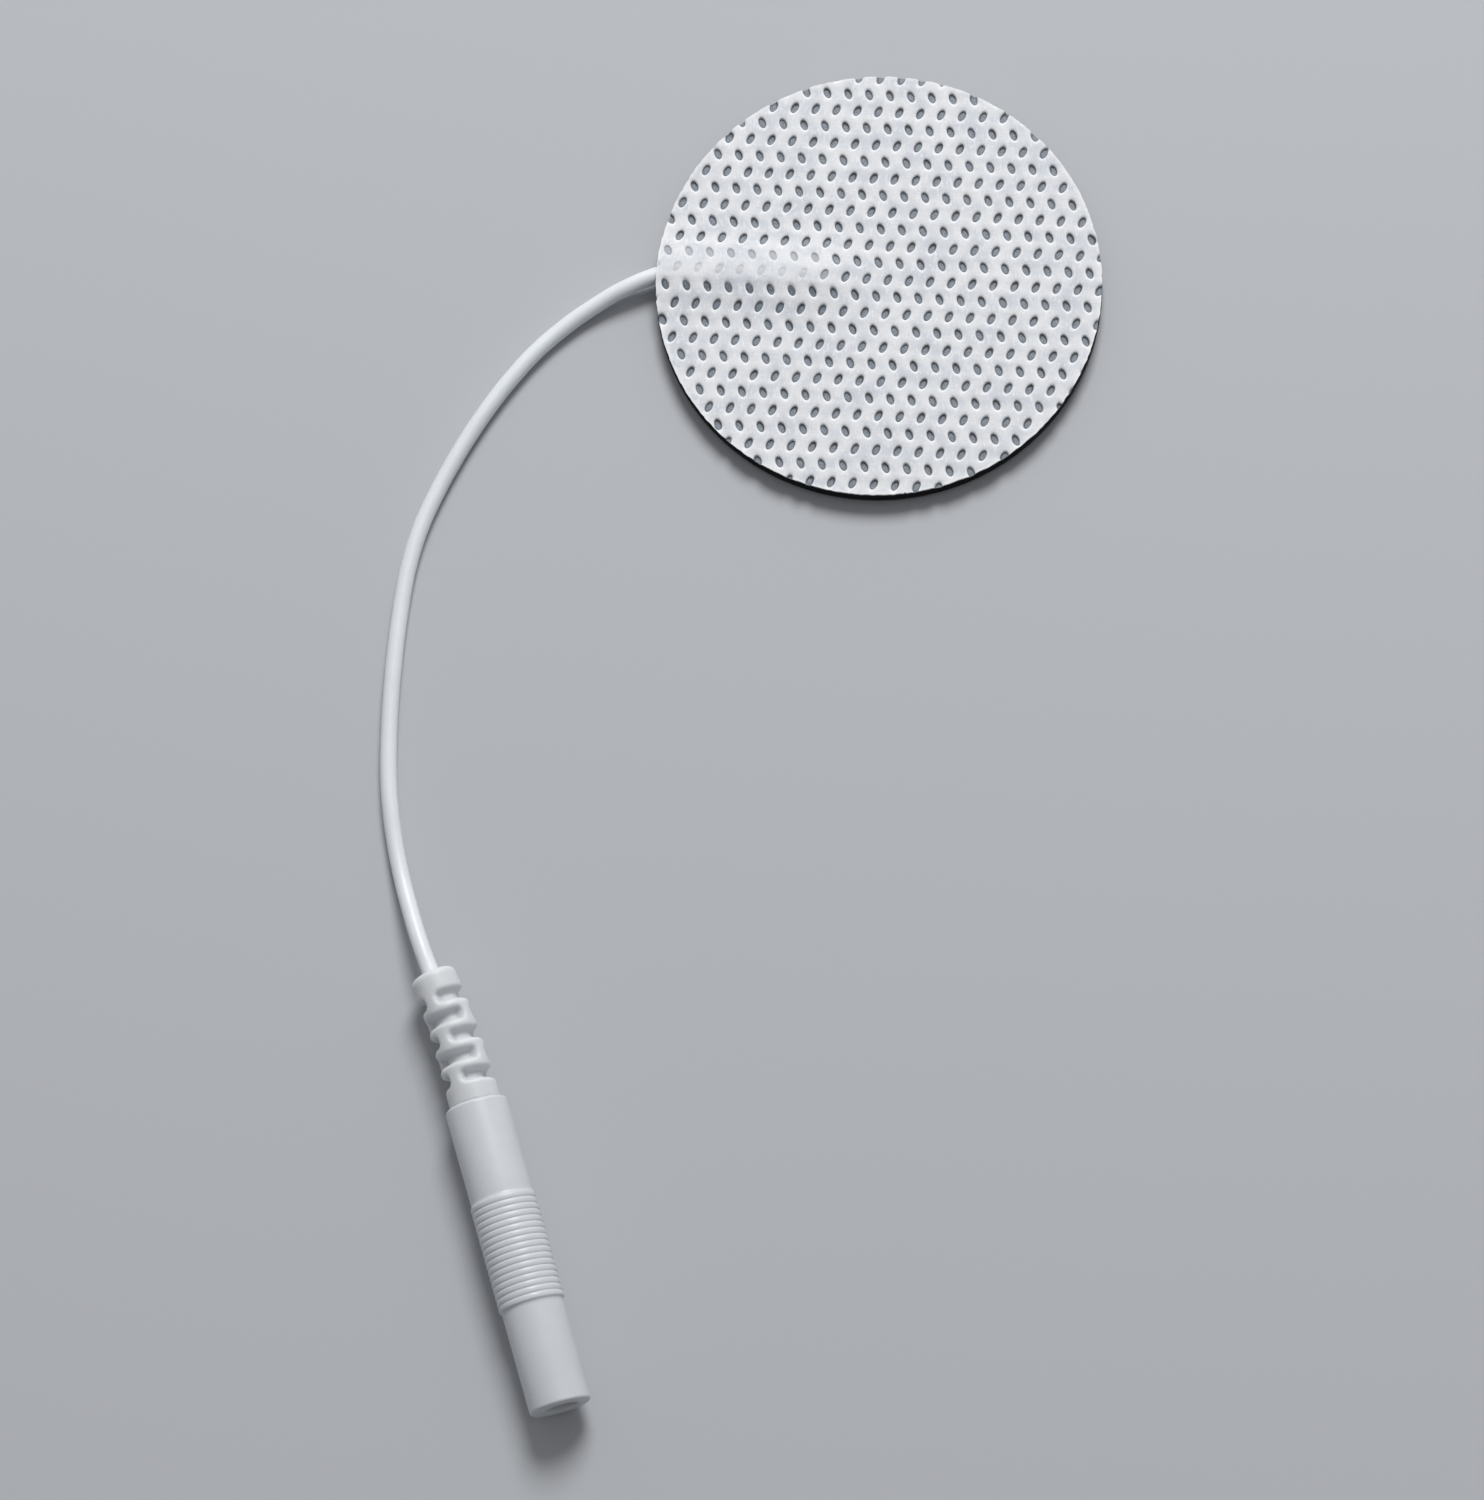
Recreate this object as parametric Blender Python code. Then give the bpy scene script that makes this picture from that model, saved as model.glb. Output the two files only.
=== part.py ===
"""A round self-adhesive electrode pad for a nerve stimulator, with its short lead and socket.

The pad lies with its gel face on z = 0 and its centre at the origin. The lead leaves it
towards -X under the backing fabric, lies along the surface and ends in a socket for a 2 mm pin.
"""

import math

import bmesh
import bpy
import numpy as np
from mathutils import Vector
from mathutils.geometry import delaunay_2d_cdt

MM = 0.001

# The pad's layers from the skin up, with a thin glue line between each two.
PAD_RADIUS = 16.0 * MM
GEL_THICKNESS = 0.95 * MM
FILM_THICKNESS = 0.15 * MM
FABRIC_THICKNESS = 0.35 * MM
GLUE_LINE = 0.03 * MM
RIM_SIDES = 96

# The oval bond points pressed into the non-woven fabric, in rows that lean to either side.
BOND_PITCH = 1.524 * MM
BOND_ROW_SPACING = 1.297 * MM
BOND_LENGTH = 0.90 * MM
BOND_WIDTH = 0.52 * MM
BOND_DEPTH = 0.20 * MM
BOND_LEAN = math.radians(25)
BOND_START_X = 0.63 * MM
BOND_START_Y = 0.32 * MM
BOND_FLOOR_SHARE = 0.35  # how far along an oval its deepest line reaches
BOND_CORNERS = 6
BOND_SHARP_FROM = math.radians(20)
CLEAR_OF_BOND = 1.25  # in half sizes of an oval
PLAN_TOLERANCE = 1e-5  # in millimetres

# The lead and the tunnel that it makes between the film and the fabric.
LEAD_RADIUS = 0.60 * MM
LEAD_UNDER_FABRIC = 10.8 * MM
LEAD_LINE_Y = 0.15 * MM
EXIT_SWAY = 0.30 * MM  # how far the lead has turned aside where it leaves the pad
EXIT_BEND_LENGTH = 1.5 * MM
LEAD_SINK = 0.45 * MM  # how deep the lead presses into the gel
TUNNEL_CLEARANCE = 0.05 * MM
RIDGE_FLANK = 2.00 * MM
TROUGH_FLANK = 0.70 * MM
RIDGE_RUN_OUT = 2.8 * MM
TROUGH_LINES = (0.0, 0.27, 0.58, 1.0)  # shares of the trough's half width
RIDGE_LINES = (0.77, 1.0)  # shares of the ridge's half width
EXIT_COLUMNS = (1 / 3, 2 / 3, 1.0)  # shares of the bend at the exit
RUN_OUT_COLUMNS = (0.0, 0.32, 0.68, 1.0)  # shares of the run-out

# The bared conductor, fanned out on the film.
BUNDLE_RADIUS = 0.26 * MM
BUNDLE_LENGTH = 0.65 * MM
BUNDLE_SIDES = 10
STRAND_COUNT = 5
STRAND_RADIUS = 0.06 * MM
STRAND_SIDES = 6
STRAND_ROOT = 0.16 * MM  # how far from the bundle's middle the outermost strands start
STRAND_LANDING = (2.1 * MM, 0.5 * MM)  # where the outermost strands come down on the film
FAN_LENGTH = 7.0 * MM
FAN_HALF_WIDTH = 2.0 * MM
FAN_MARGIN = 0.6 * MM
FAN_CLEARANCE = 0.035 * MM
STRAND_END_GAP = 0.05 * MM

# The free lead's route in plan, measured from where it leaves the pad.
LEAD_ROUTE = [
    (-1.26, -0.51),
    (-2.99, -1.53),
    (-4.71, -2.67),
    (-6.40, -4.07),
    (-8.06, -5.74),
    (-9.67, -7.79),
    (-11.25, -10.21),
    (-12.97, -13.39),
    (-14.66, -17.25),
    (-15.85, -21.06),
    (-16.38, -24.81),
    (-16.56, -28.51),
    (-16.58, -32.18),
    (-16.44, -35.82),
    (-16.10, -39.43),
    (-15.41, -43.00),
    (-14.38, -46.52),
    (-12.97, -50.25),
    (-11.70, -53.09),
]
LEAD_STEP = 2.6 * MM
LEAD_REST_GAP = 0.02 * MM
LEAD_DROP = 7.5 * MM
LEAD_RISE = 10.0 * MM
SPLINE_SAMPLES = 40  # between each two places of the route

# The moulded strain relief: rings joined by pairs of webs that turn by a quarter from slot to slot.
BOOT_TIP_RADIUS = 1.62 * MM
BOOT_COLLAR_RADIUS = 1.81 * MM
BOOT_SLEEVE_RADIUS = 1.05 * MM
BOOT_BORE_CLEARANCE = 0.06 * MM
END_RING_LENGTH = 1.65 * MM
RING_LENGTH = 0.665 * MM
SLOT_LENGTH = 0.80 * MM
SLOT_COUNT = 5
COLLAR_LENGTH = 1.47 * MM
BOOT_EDGE = 0.12 * MM
BOOT_TIP_EDGE = 0.35 * MM
SLOT_DRAFT = 0.03 * MM
WEB_WIDTH = 1.15 * MM
WEB_DRAFT = math.radians(8)
WEB_TURN = math.radians(-30)
BOOT_BEND = 0.50 * MM
BOOT_BEND_LENGTH = 7.2 * MM
SPIGOT_RADIUS = 1.50 * MM
SPIGOT_LENGTH = 4.30 * MM
BOOT_BORE_ROWS = 6

# The connector: a sleeve with a ribbed grip, and the spring socket inside it.
CONNECTOR_ANGLE = math.radians(-69.8)
REAR_RADIUS = 2.20 * MM
MOUTH_RADIUS = 2.16 * MM
REAR_EDGE = 0.30 * MM
FRONT_EDGE = 0.32 * MM
RIB_RADIUS = 2.32 * MM
RIB_VALLEY_RADIUS = 2.18 * MM
RIB_COUNT = 17
RIB_PITCH = 0.449 * MM
RIBS_TO_MOUTH = 7.32 * MM
SEAT_CLEARANCE = 0.05 * MM
PIN_RADIUS = 1.00 * MM
PIN_CLEARANCE = 0.02 * MM
MOUTH_CLEARANCE = 0.12 * MM
MOUTH_CHAMFER = 0.15 * MM
LIP_LENGTH = 1.10 * MM
SOCKET_WALL = 0.33 * MM
SOCKET_LENGTH = 11.0 * MM
SOCKET_DEPTH = 9.0 * MM
SOCKET_EDGE = 0.12 * MM
SLIT_WIDTH = 0.30 * MM
SLIT_LENGTH = 5.0 * MM
BARREL_WALL = 0.30 * MM
BARREL_LENGTH = 3.0 * MM
BARREL_DEPTH = 2.6 * MM
WIRING_ROOM = 2.55 * MM
JACKET_GAP = 0.30 * MM
CORE_RADIUS = 0.34 * MM
CORE_CLEARANCE = 0.06 * MM
CORE_SIDES = 12
SIDES = 24
ROUND_CORNER = 1 - math.sqrt(0.5)  # how deep the middle of a rounded corner lies, in radii
CUTTER_SPARE = 0.5 * MM
SHARP_FROM = math.radians(40)
WELD_DISTANCE = 1e-7

# Heights in the pad.
FILM_TOP = GEL_THICKNESS + GLUE_LINE + FILM_THICKNESS
LEAD_HEIGHT = FILM_TOP - LEAD_SINK + LEAD_RADIUS
RIDGE_HEIGHT = LEAD_HEIGHT + LEAD_RADIUS + TUNNEL_CLEARANCE - FILM_TOP - GLUE_LINE
TROUGH_DEPTH = LEAD_SINK + TUNNEL_CLEARANCE
RIDGE_HALF_WIDTH = LEAD_RADIUS + RIDGE_FLANK
TROUGH_HALF_WIDTH = LEAD_RADIUS + TROUGH_FLANK
POCKET_DEPTH = 2 * STRAND_RADIUS + 2 * FAN_CLEARANCE - GLUE_LINE
LEAD_END_X = -PAD_RADIUS + LEAD_UNDER_FABRIC
POCKET_START_X = LEAD_END_X + RUN_OUT_COLUMNS[1] * RIDGE_RUN_OUT
POCKET_END_X = LEAD_END_X + FAN_LENGTH + FAN_MARGIN
POCKET_HALF_WIDTH = FAN_HALF_WIDTH + FAN_MARGIN

# Lengths along the connector, from the sleeve's rear face.
BOOT_LENGTH = (
    END_RING_LENGTH
    + SLOT_COUNT * SLOT_LENGTH
    + (SLOT_COUNT - 1) * RING_LENGTH
    + COLLAR_LENGTH
)
SOCKET_BACK = SPIGOT_LENGTH + WIRING_ROOM + BARREL_LENGTH
SOCKET_FRONT = SOCKET_BACK + SOCKET_LENGTH
SLEEVE_LENGTH = SOCKET_FRONT + SEAT_CLEARANCE + LIP_LENGTH
BARREL_BACK = SOCKET_BACK - BARREL_LENGTH
JACKET_END = BARREL_BACK - JACKET_GAP
SOCKET_RADIUS = PIN_RADIUS + PIN_CLEARANCE + SOCKET_WALL
SOCKET_BORE = SOCKET_RADIUS + SEAT_CLEARANCE
BARREL_BORE = CORE_RADIUS + CORE_CLEARANCE
CONNECTOR_HEIGHT = RIB_RADIUS

WHITE_FABRIC = (0.84, 0.85, 0.86)
BLACK_CARBON = (0.012, 0.012, 0.014)
DARK_GEL = (0.035, 0.036, 0.040)
WHITE_PLASTIC = (0.76, 0.78, 0.80)
NICKEL = (0.62, 0.60, 0.56)
TINNED_COPPER = (0.66, 0.50, 0.40)


def clear_scene():
    for obj in list(bpy.data.objects):
        bpy.data.objects.remove(obj, do_unlink=True)


def make_material(name, colour, roughness, metallic=0.0):
    material = bpy.data.materials.new(name)
    material.use_nodes = True
    shader = material.node_tree.nodes["Principled BSDF"]
    shader.inputs["Base Color"].default_value = (*colour, 1.0)
    shader.inputs["Roughness"].default_value = roughness
    shader.inputs["Metallic"].default_value = metallic
    return material


def add_object(name, bm, material, smooth_below=SHARP_FROM):
    """The bmesh as an object of its own, shaded smooth across its shallow edges."""
    mesh = bpy.data.meshes.new(name)
    bm.to_mesh(mesh)
    bm.free()
    mesh.shade_smooth()
    mesh.set_sharp_from_angle(angle=smooth_below)
    mesh.materials.append(material)
    obj = bpy.data.objects.new(name, mesh)
    bpy.context.scene.collection.objects.link(obj)
    return obj


def hide_helper(obj):
    obj.hide_render = True
    obj.display_type = "WIRE"


def place_on_connector(obj, seat):
    """Turns a piece made along +X onto the connector's axis, with x = 0 at the sleeve's rear face."""
    obj.location = seat
    obj.rotation_euler = (0, 0, CONNECTOR_ANGLE)


# The pad


def ramp(value):
    return min(max(value, 0.0), 1.0)


def tent(distance, half_width):
    """A smooth hill across the lead: 1 on its line, 0 from half_width outwards."""
    return 0.5 + 0.5 * math.cos(math.pi * min(abs(distance) / half_width, 1.0))


def run_out(x):
    """1 over the lead, falling smoothly to 0 past its end."""
    return tent(max(x - LEAD_END_X, 0.0), RIDGE_RUN_OUT)


def exit_share(x):
    return ramp((-PAD_RADIUS + EXIT_BEND_LENGTH - x) / EXIT_BEND_LENGTH)


def lead_line(x):
    """The y of the lead's centre line under the fabric, which turns aside towards the exit."""
    return LEAD_LINE_Y - EXIT_SWAY * exit_share(x) ** 2


def fabric_rise(x, y):
    return RIDGE_HEIGHT * tent(y - lead_line(x), RIDGE_HALF_WIDTH) * run_out(x)


def film_dip(x, y):
    """How far the film is pressed into the gel, by the lead and by the fanned strands."""
    across = y - lead_line(x)
    trough = TROUGH_DEPTH * tent(across, TROUGH_HALF_WIDTH) * run_out(x)
    in_pocket = ramp((x - POCKET_START_X) / FAN_MARGIN) * ramp((POCKET_END_X - x) / FAN_MARGIN)
    pocket = POCKET_DEPTH * in_pocket * ramp((POCKET_HALF_WIDTH - abs(across)) / FAN_MARGIN)
    return max(trough, pocket)


def bond_at(row, column):
    """(centre x, centre y, lean) of one bond point: odd rows lean back and stand half a pitch on."""
    odd = row % 2
    x = BOND_START_X + (column + odd / 2) * BOND_PITCH
    y = BOND_START_Y + row * BOND_ROW_SPACING
    return x, y, BOND_LEAN if odd else -BOND_LEAN


def nearest_bond(x, y):
    row = round((y - BOND_START_Y) / BOND_ROW_SPACING)
    return bond_at(row, round((x - BOND_START_X) / BOND_PITCH - row % 2 / 2))


def bond_points():
    """Every bond point whose outline reaches into the disc."""
    rows = int(PAD_RADIUS / BOND_ROW_SPACING) + 2
    columns = int(PAD_RADIUS / BOND_PITCH) + 2
    for row in range(-rows, rows + 1):
        for column in range(-columns, columns + 1):
            bond = bond_at(row, column)
            if math.hypot(bond[0], bond[1]) < PAD_RADIUS + BOND_WIDTH / 2:
                yield bond


def bond_reach(x, y):
    """How far out the point lies from the middle of its nearest bond point: 1 on the oval outline."""
    centre_x, centre_y, lean = nearest_bond(x, y)
    dx = x - centre_x
    dy = y - centre_y
    along = -dx * math.sin(lean) + dy * math.cos(lean)
    across = dx * math.cos(lean) + dy * math.sin(lean)
    return math.hypot(2 * along / BOND_LENGTH, 2 * across / BOND_WIDTH)


def bond_place(along, across, bond):
    """Plan coordinates of a point given along and across the oval, in shares of its half sizes."""
    centre_x, centre_y, lean = bond
    u = along * BOND_LENGTH / 2
    v = across * BOND_WIDTH / 2
    return (
        centre_x - u * math.sin(lean) + v * math.cos(lean),
        centre_y + u * math.cos(lean) + v * math.sin(lean),
    )


def bond_outline(bond):
    """The oval's corners, with its long axis through two of them."""
    turns = [2 * math.pi * k / BOND_CORNERS for k in range(BOND_CORNERS)]
    return [bond_place(math.cos(t), math.sin(t), bond) for t in turns]


def bond_floor(bond):
    return [bond_place(BOND_FLOOR_SHARE * end, 0.0, bond) for end in (-1, 1)]


def tunnel_offsets():
    """How far to either side of the lead's line the sheets bend."""
    one_side = [share * TROUGH_HALF_WIDTH for share in TROUGH_LINES]
    one_side += [share * RIDGE_HALF_WIDTH for share in RIDGE_LINES]
    return sorted({side * offset for offset in one_side for side in (-1, 1)})


def tunnel_columns():
    """The x places where the sheets bend along the lead and its run-out."""
    at_exit = [-PAD_RADIUS + share * EXIT_BEND_LENGTH for share in EXIT_COLUMNS]
    past = [LEAD_END_X + share * RIDGE_RUN_OUT for share in RUN_OUT_COLUMNS]
    return [*at_exit, (at_exit[-1] + LEAD_END_X) / 2, *past]


def guide_lines():
    """Lines of plan points along the tunnel and round the strands' pocket, each joined end to end."""
    lines = [[(x, lead_line(x) + offset) for x in tunnel_columns()] for offset in tunnel_offsets()]
    columns = (
        POCKET_START_X,
        POCKET_START_X + FAN_MARGIN,
        (POCKET_START_X + POCKET_END_X) / 2,
        POCKET_END_X - FAN_MARGIN,
        POCKET_END_X,
    )
    for half in (POCKET_HALF_WIDTH - FAN_MARGIN, POCKET_HALF_WIDTH):
        for side in (-1, 1):
            lines.append([(x, LEAD_LINE_Y + side * half) for x in columns])
    for half in (-TROUGH_HALF_WIDTH, TROUGH_HALF_WIDTH):
        lines.append([(x, LEAD_LINE_Y + half) for x in columns[3:]])
    return lines


def rim_outline():
    """The die-cut edge: even steps round the circle, and the tunnel's own lines where the lead leaves."""
    exits = [math.pi - math.asin((lead_line(-PAD_RADIUS) + y) / PAD_RADIUS) for y in tunnel_offsets()]
    step = 2 * math.pi / RIM_SIDES
    even = [step * k for k in range(RIM_SIDES)]
    clear = [a for a in even if a < min(exits) - step / 3 or a > max(exits) + step / 3]
    return [(PAD_RADIUS * math.cos(a), PAD_RADIUS * math.sin(a)) for a in sorted(clear + exits)]


def ridge_points():
    """Plan points over the ridge on the fabric's face, wherever no bond point is."""
    step = BOND_PITCH / 2
    for k in range(1, int((LEAD_UNDER_FABRIC + RIDGE_RUN_OUT) / step)):
        x = -PAD_RADIUS + k * step
        for offset in tunnel_offsets():
            y = lead_line(x) + offset
            if bond_reach(x, y) > CLEAR_OF_BOND:
                yield x, y


def plan_triangles(rim, lines, ovals=()):
    """Points and triangles of the disc in plan, with its edge points in order, in metres."""
    points = [Vector(p) / MM for p in rim]
    faces = [list(range(len(points)))]
    edges = []
    for line in lines:
        first = len(points)
        points += [Vector(p) / MM for p in line]
        edges += [(first + k, first + k + 1) for k in range(len(line) - 1)]
    for outline, floor in ovals:
        first = len(points)
        points += [Vector(p) / MM for p in outline]
        faces.append(list(range(first, len(points))))
        points += [Vector(p) / MM for p in floor]
        edges.append((len(points) - 2, len(points) - 1))
    spots, _, triangles, _, _, owners = delaunay_2d_cdt(points, edges, faces, 1, PLAN_TOLERANCE)
    kept = [t for t, owner in zip(triangles, owners) if 0 in owner]
    count = {}
    for a, b, c in kept:
        for edge in ((a, b), (b, c), (c, a)):
            key = tuple(sorted(edge))
            count[key] = count.get(key, 0) + 1
    edge_spots = {spot for edge, uses in count.items() if uses == 1 for spot in edge}
    seam = math.pi / RIM_SIDES / 2
    around = sorted(edge_spots, key=lambda k: (math.atan2(spots[k].y, spots[k].x) + seam) % (2 * math.pi))
    return [spot * MM for spot in spots], kept, around


def layer_mesh(upper, upper_height, lower, lower_height):
    """A closed sheet between two heights over plans that share their edge points."""
    bm = bmesh.new()
    rims = []
    for (spots, triangles, around), height, flip in (
        (upper, upper_height, False),
        (lower, lower_height, True),
    ):
        used = sorted({k for t in triangles for k in t})
        verts = {k: bm.verts.new((spots[k].x, spots[k].y, height(spots[k].x, spots[k].y))) for k in used}
        for a, b, c in triangles:
            turned = (spots[b] - spots[a]).cross(spots[c] - spots[a]) < 0
            corners = (verts[a], verts[b], verts[c])
            bm.faces.new(corners[::-1] if turned != flip else corners)
        rims.append([verts[k] for k in around])
    top, bottom = rims
    for k in range(len(top)):
        following = (k + 1) % len(top)
        bm.faces.new((top[k], bottom[k], bottom[following], top[following]))
    return bm


def make_backing_fabric(material):
    ovals = [(bond_outline(bond), bond_floor(bond)) for bond in bond_points()]
    upper = plan_triangles(rim_outline(), [[point] for point in ridge_points()], ovals)
    spots, _, around = upper
    lower = plan_triangles([(spots[k].x, spots[k].y) for k in around], guide_lines())

    def underside(x, y):
        return FILM_TOP + GLUE_LINE + fabric_rise(x, y)

    def face(x, y):
        share = ramp((1.0 - bond_reach(x, y)) / (1.0 - BOND_FLOOR_SHARE))
        return underside(x, y) + FABRIC_THICKNESS - BOND_DEPTH * share

    sheet = layer_mesh(upper, face, lower, underside)
    return add_object("backing_fabric", sheet, material, BOND_SHARP_FROM)


def make_conductive_film(material):
    plan = plan_triangles(rim_outline(), guide_lines())

    def upper(x, y):
        return FILM_TOP - film_dip(x, y)

    def lower(x, y):
        return upper(x, y) - FILM_THICKNESS

    return add_object("conductive_film", layer_mesh(plan, upper, plan, lower), material)


def make_hydrogel(material):
    plan = plan_triangles(rim_outline(), guide_lines())
    flat = plan_triangles(rim_outline(), [])

    def upper(x, y):
        return GEL_THICKNESS - film_dip(x, y)

    def lower(x, y):
        return 0.0

    return add_object("hydrogel", layer_mesh(plan, upper, flat, lower), material)


# The conductor and the lead


def tube_mesh(path, radius, sides):
    """A closed tube of rings square to a path that stays near the X direction."""
    bm = bmesh.new()
    path = [Vector(p) for p in path]
    rings = []
    for k, point in enumerate(path):
        before = path[max(k - 1, 0)]
        after = path[min(k + 1, len(path) - 1)]
        along = (after - before).normalized()
        side = along.cross(Vector((0, 0, 1))).normalized()
        up = side.cross(along)
        turns = [2 * math.pi * (j + 0.5) / sides for j in range(sides)]
        spokes = [math.cos(t) * side + math.sin(t) * up for t in turns]
        rings.append([bm.verts.new(point + radius * spoke) for spoke in spokes])
    for one, two in zip(rings, rings[1:]):
        for j in range(sides):
            following = (j + 1) % sides
            bm.faces.new((one[j], two[j], two[following], one[following]))
    bm.faces.new(rings[0])
    bm.faces.new(rings[-1][::-1])
    bmesh.ops.recalc_face_normals(bm, faces=bm.faces)
    return bm


def make_conductor_fan(material):
    """The bared end of the lead: one bundle, opened into strands that lie flat on the film."""
    start = LEAD_END_X + STRAND_END_GAP
    end = start + BUNDLE_LENGTH
    flat_height = FILM_TOP + (GLUE_LINE - POCKET_DEPTH) / 2
    bundle = [(start, LEAD_LINE_Y, LEAD_HEIGHT), (end, LEAD_LINE_Y, LEAD_HEIGHT)]
    fan = add_object("conductor_fan", tube_mesh(bundle, BUNDLE_RADIUS, BUNDLE_SIDES), material)
    landing_x, landing_y = STRAND_LANDING
    for k in range(STRAND_COUNT):
        share = 2 * k / (STRAND_COUNT - 1) - 1
        path = [
            ((start + end) / 2, LEAD_LINE_Y + share * STRAND_ROOT, LEAD_HEIGHT),
            (end, LEAD_LINE_Y + share * STRAND_ROOT, LEAD_HEIGHT),
            (start + landing_x, LEAD_LINE_Y + share * landing_y, flat_height),
            (start + FAN_LENGTH, LEAD_LINE_Y + share * FAN_HALF_WIDTH, flat_height),
        ]
        strand = add_object(f"strand_guide_{k}", tube_mesh(path, STRAND_RADIUS, STRAND_SIDES), material)
        hide_helper(strand)
        join = fan.modifiers.new(f"strand {k}", "BOOLEAN")
        join.operation = "UNION"
        join.object = strand
    return fan


def smooth_curve(knots, leaving, arriving, step):
    """Evenly spaced points on the cubic spline through the knots, with its two end directions."""
    knots = np.array(knots)
    spans = np.linalg.norm(np.diff(knots, axis=0), axis=1)
    count = len(knots)
    system = np.eye(count)
    slopes = np.zeros_like(knots)
    slopes[0] = leaving
    slopes[-1] = arriving
    for k in range(1, count - 1):
        before = spans[k - 1]
        after = spans[k]
        system[k, k - 1 : k + 2] = after, 2 * (before + after), before
        slopes[k] = 3 * (
            before * (knots[k + 1] - knots[k]) / after + after * (knots[k] - knots[k - 1]) / before
        )
    slopes = np.linalg.solve(system, slopes)
    dense = []
    for k in range(count - 1):
        for t in np.linspace(0, 1, SPLINE_SAMPLES, endpoint=k == count - 2):
            dense.append(
                (1 + 2 * t) * (1 - t) ** 2 * knots[k]
                + t * (1 - t) ** 2 * spans[k] * slopes[k]
                + t * t * (3 - 2 * t) * knots[k + 1]
                + t * t * (t - 1) * spans[k] * slopes[k + 1]
            )
    dense = np.array(dense)
    run = np.concatenate([[0.0], np.cumsum(np.linalg.norm(np.diff(dense, axis=0), axis=1))])
    stops = np.linspace(0, run[-1], round(run[-1] / step) + 1)
    return stops, np.stack([np.interp(stops, run, dense[:, axis]) for axis in (0, 1)], axis=1)


def ease(share):
    share = ramp(share)
    return share * share * (3 - 2 * share)


def boot_sway(s):
    """How far the strain relief's axis has bent aside at s, measured from the sleeve's rear face."""
    from_start = ramp((-s - (BOOT_LENGTH - BOOT_BEND_LENGTH)) / BOOT_BEND_LENGTH)
    return BOOT_BEND * from_start**2


def boot_slope(s):
    from_start = ramp((-s - (BOOT_LENGTH - BOOT_BEND_LENGTH)) / BOOT_BEND_LENGTH)
    return 2 * BOOT_BEND * from_start / BOOT_BEND_LENGTH


def connector_seat():
    """Where the sleeve's rear face stands, so that the strain relief's tip meets the route's end."""
    end_x, end_y = LEAD_ROUTE[-1]
    along = Vector((math.cos(CONNECTOR_ANGLE), math.sin(CONNECTOR_ANGLE), 0))
    aside = Vector((math.sin(CONNECTOR_ANGLE), -math.cos(CONNECTOR_ANGLE), 0))
    tip = Vector((-PAD_RADIUS + end_x * MM, lead_line(-PAD_RADIUS) + end_y * MM, CONNECTOR_HEIGHT))
    return tip + BOOT_LENGTH * along - BOOT_BEND * aside, along, aside


def lead_path():
    """The lead's centre line, from its end under the fabric to its end in the connector."""
    seat, along, aside = connector_seat()
    under = [LEAD_END_X, *tunnel_columns()[len(EXIT_COLUMNS) :: -1]]
    path = [(x, lead_line(x), LEAD_HEIGHT) for x in under]
    exit_y = lead_line(-PAD_RADIUS)
    knots = [(-PAD_RADIUS, exit_y)] + [(-PAD_RADIUS + x * MM, exit_y + y * MM) for x, y in LEAD_ROUTE]
    leaving = Vector((-1, -2 * EXIT_SWAY / EXIT_BEND_LENGTH)).normalized()
    arriving = (along - boot_slope(-BOOT_LENGTH) * aside).normalized()
    stops, plan = smooth_curve(knots, leaving, arriving.xy, LEAD_STEP)
    rest = LEAD_RADIUS + LEAD_REST_GAP
    for stop, (x, y) in zip(stops, plan):
        down = ease(stop / LEAD_DROP)
        up = ease((stop - stops[-1] + LEAD_RISE) / LEAD_RISE)
        height = LEAD_HEIGHT + (rest - LEAD_HEIGHT) * down + (CONNECTOR_HEIGHT - rest) * up
        path.append((x, y, height))
    inside = np.linspace(-BOOT_LENGTH, -BOOT_LENGTH + BOOT_BEND_LENGTH, BOOT_BORE_ROWS - 1)[1:]
    for s in [*inside, SPIGOT_LENGTH, JACKET_END]:
        path.append(seat + float(s) * along + float(boot_sway(s)) * aside)
    return path


def make_lead(material):
    curve = bpy.data.curves.new("lead_wire", "CURVE")
    curve.dimensions = "3D"
    curve.bevel_depth = LEAD_RADIUS
    curve.bevel_resolution = 2
    curve.use_fill_caps = True
    path = lead_path()
    spline = curve.splines.new("POLY")
    spline.points.add(len(path) - 1)
    for point, place in zip(spline.points, path):
        point.co = (*place, 1.0)
    spline.use_smooth = True
    curve.materials.append(material)
    obj = bpy.data.objects.new("lead_wire", curve)
    bpy.context.scene.collection.objects.link(obj)
    return obj


# The connector


def lathe(name, profile, material, sides=SIDES):
    """Spins a closed profile of (x, radius) points round the X axis."""
    bm = bmesh.new()
    ring = [bm.verts.new((x, 0, radius)) for x, radius in profile]
    for k, vert in enumerate(ring):
        following = ring[(k + 1) % len(ring)]
        if vert.co.z > 0 or following.co.z > 0:
            bm.edges.new((vert, following))
    bmesh.ops.spin(
        bm,
        geom=bm.verts[:] + bm.edges[:],
        axis=(1, 0, 0),
        cent=(0, 0, 0),
        steps=sides,
        angle=2 * math.pi,
        use_merge=True,
    )
    bmesh.ops.remove_doubles(bm, verts=bm.verts, dist=WELD_DISTANCE)
    bmesh.ops.recalc_face_normals(bm, faces=bm.faces)
    return add_object(name, bm, material)


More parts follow.
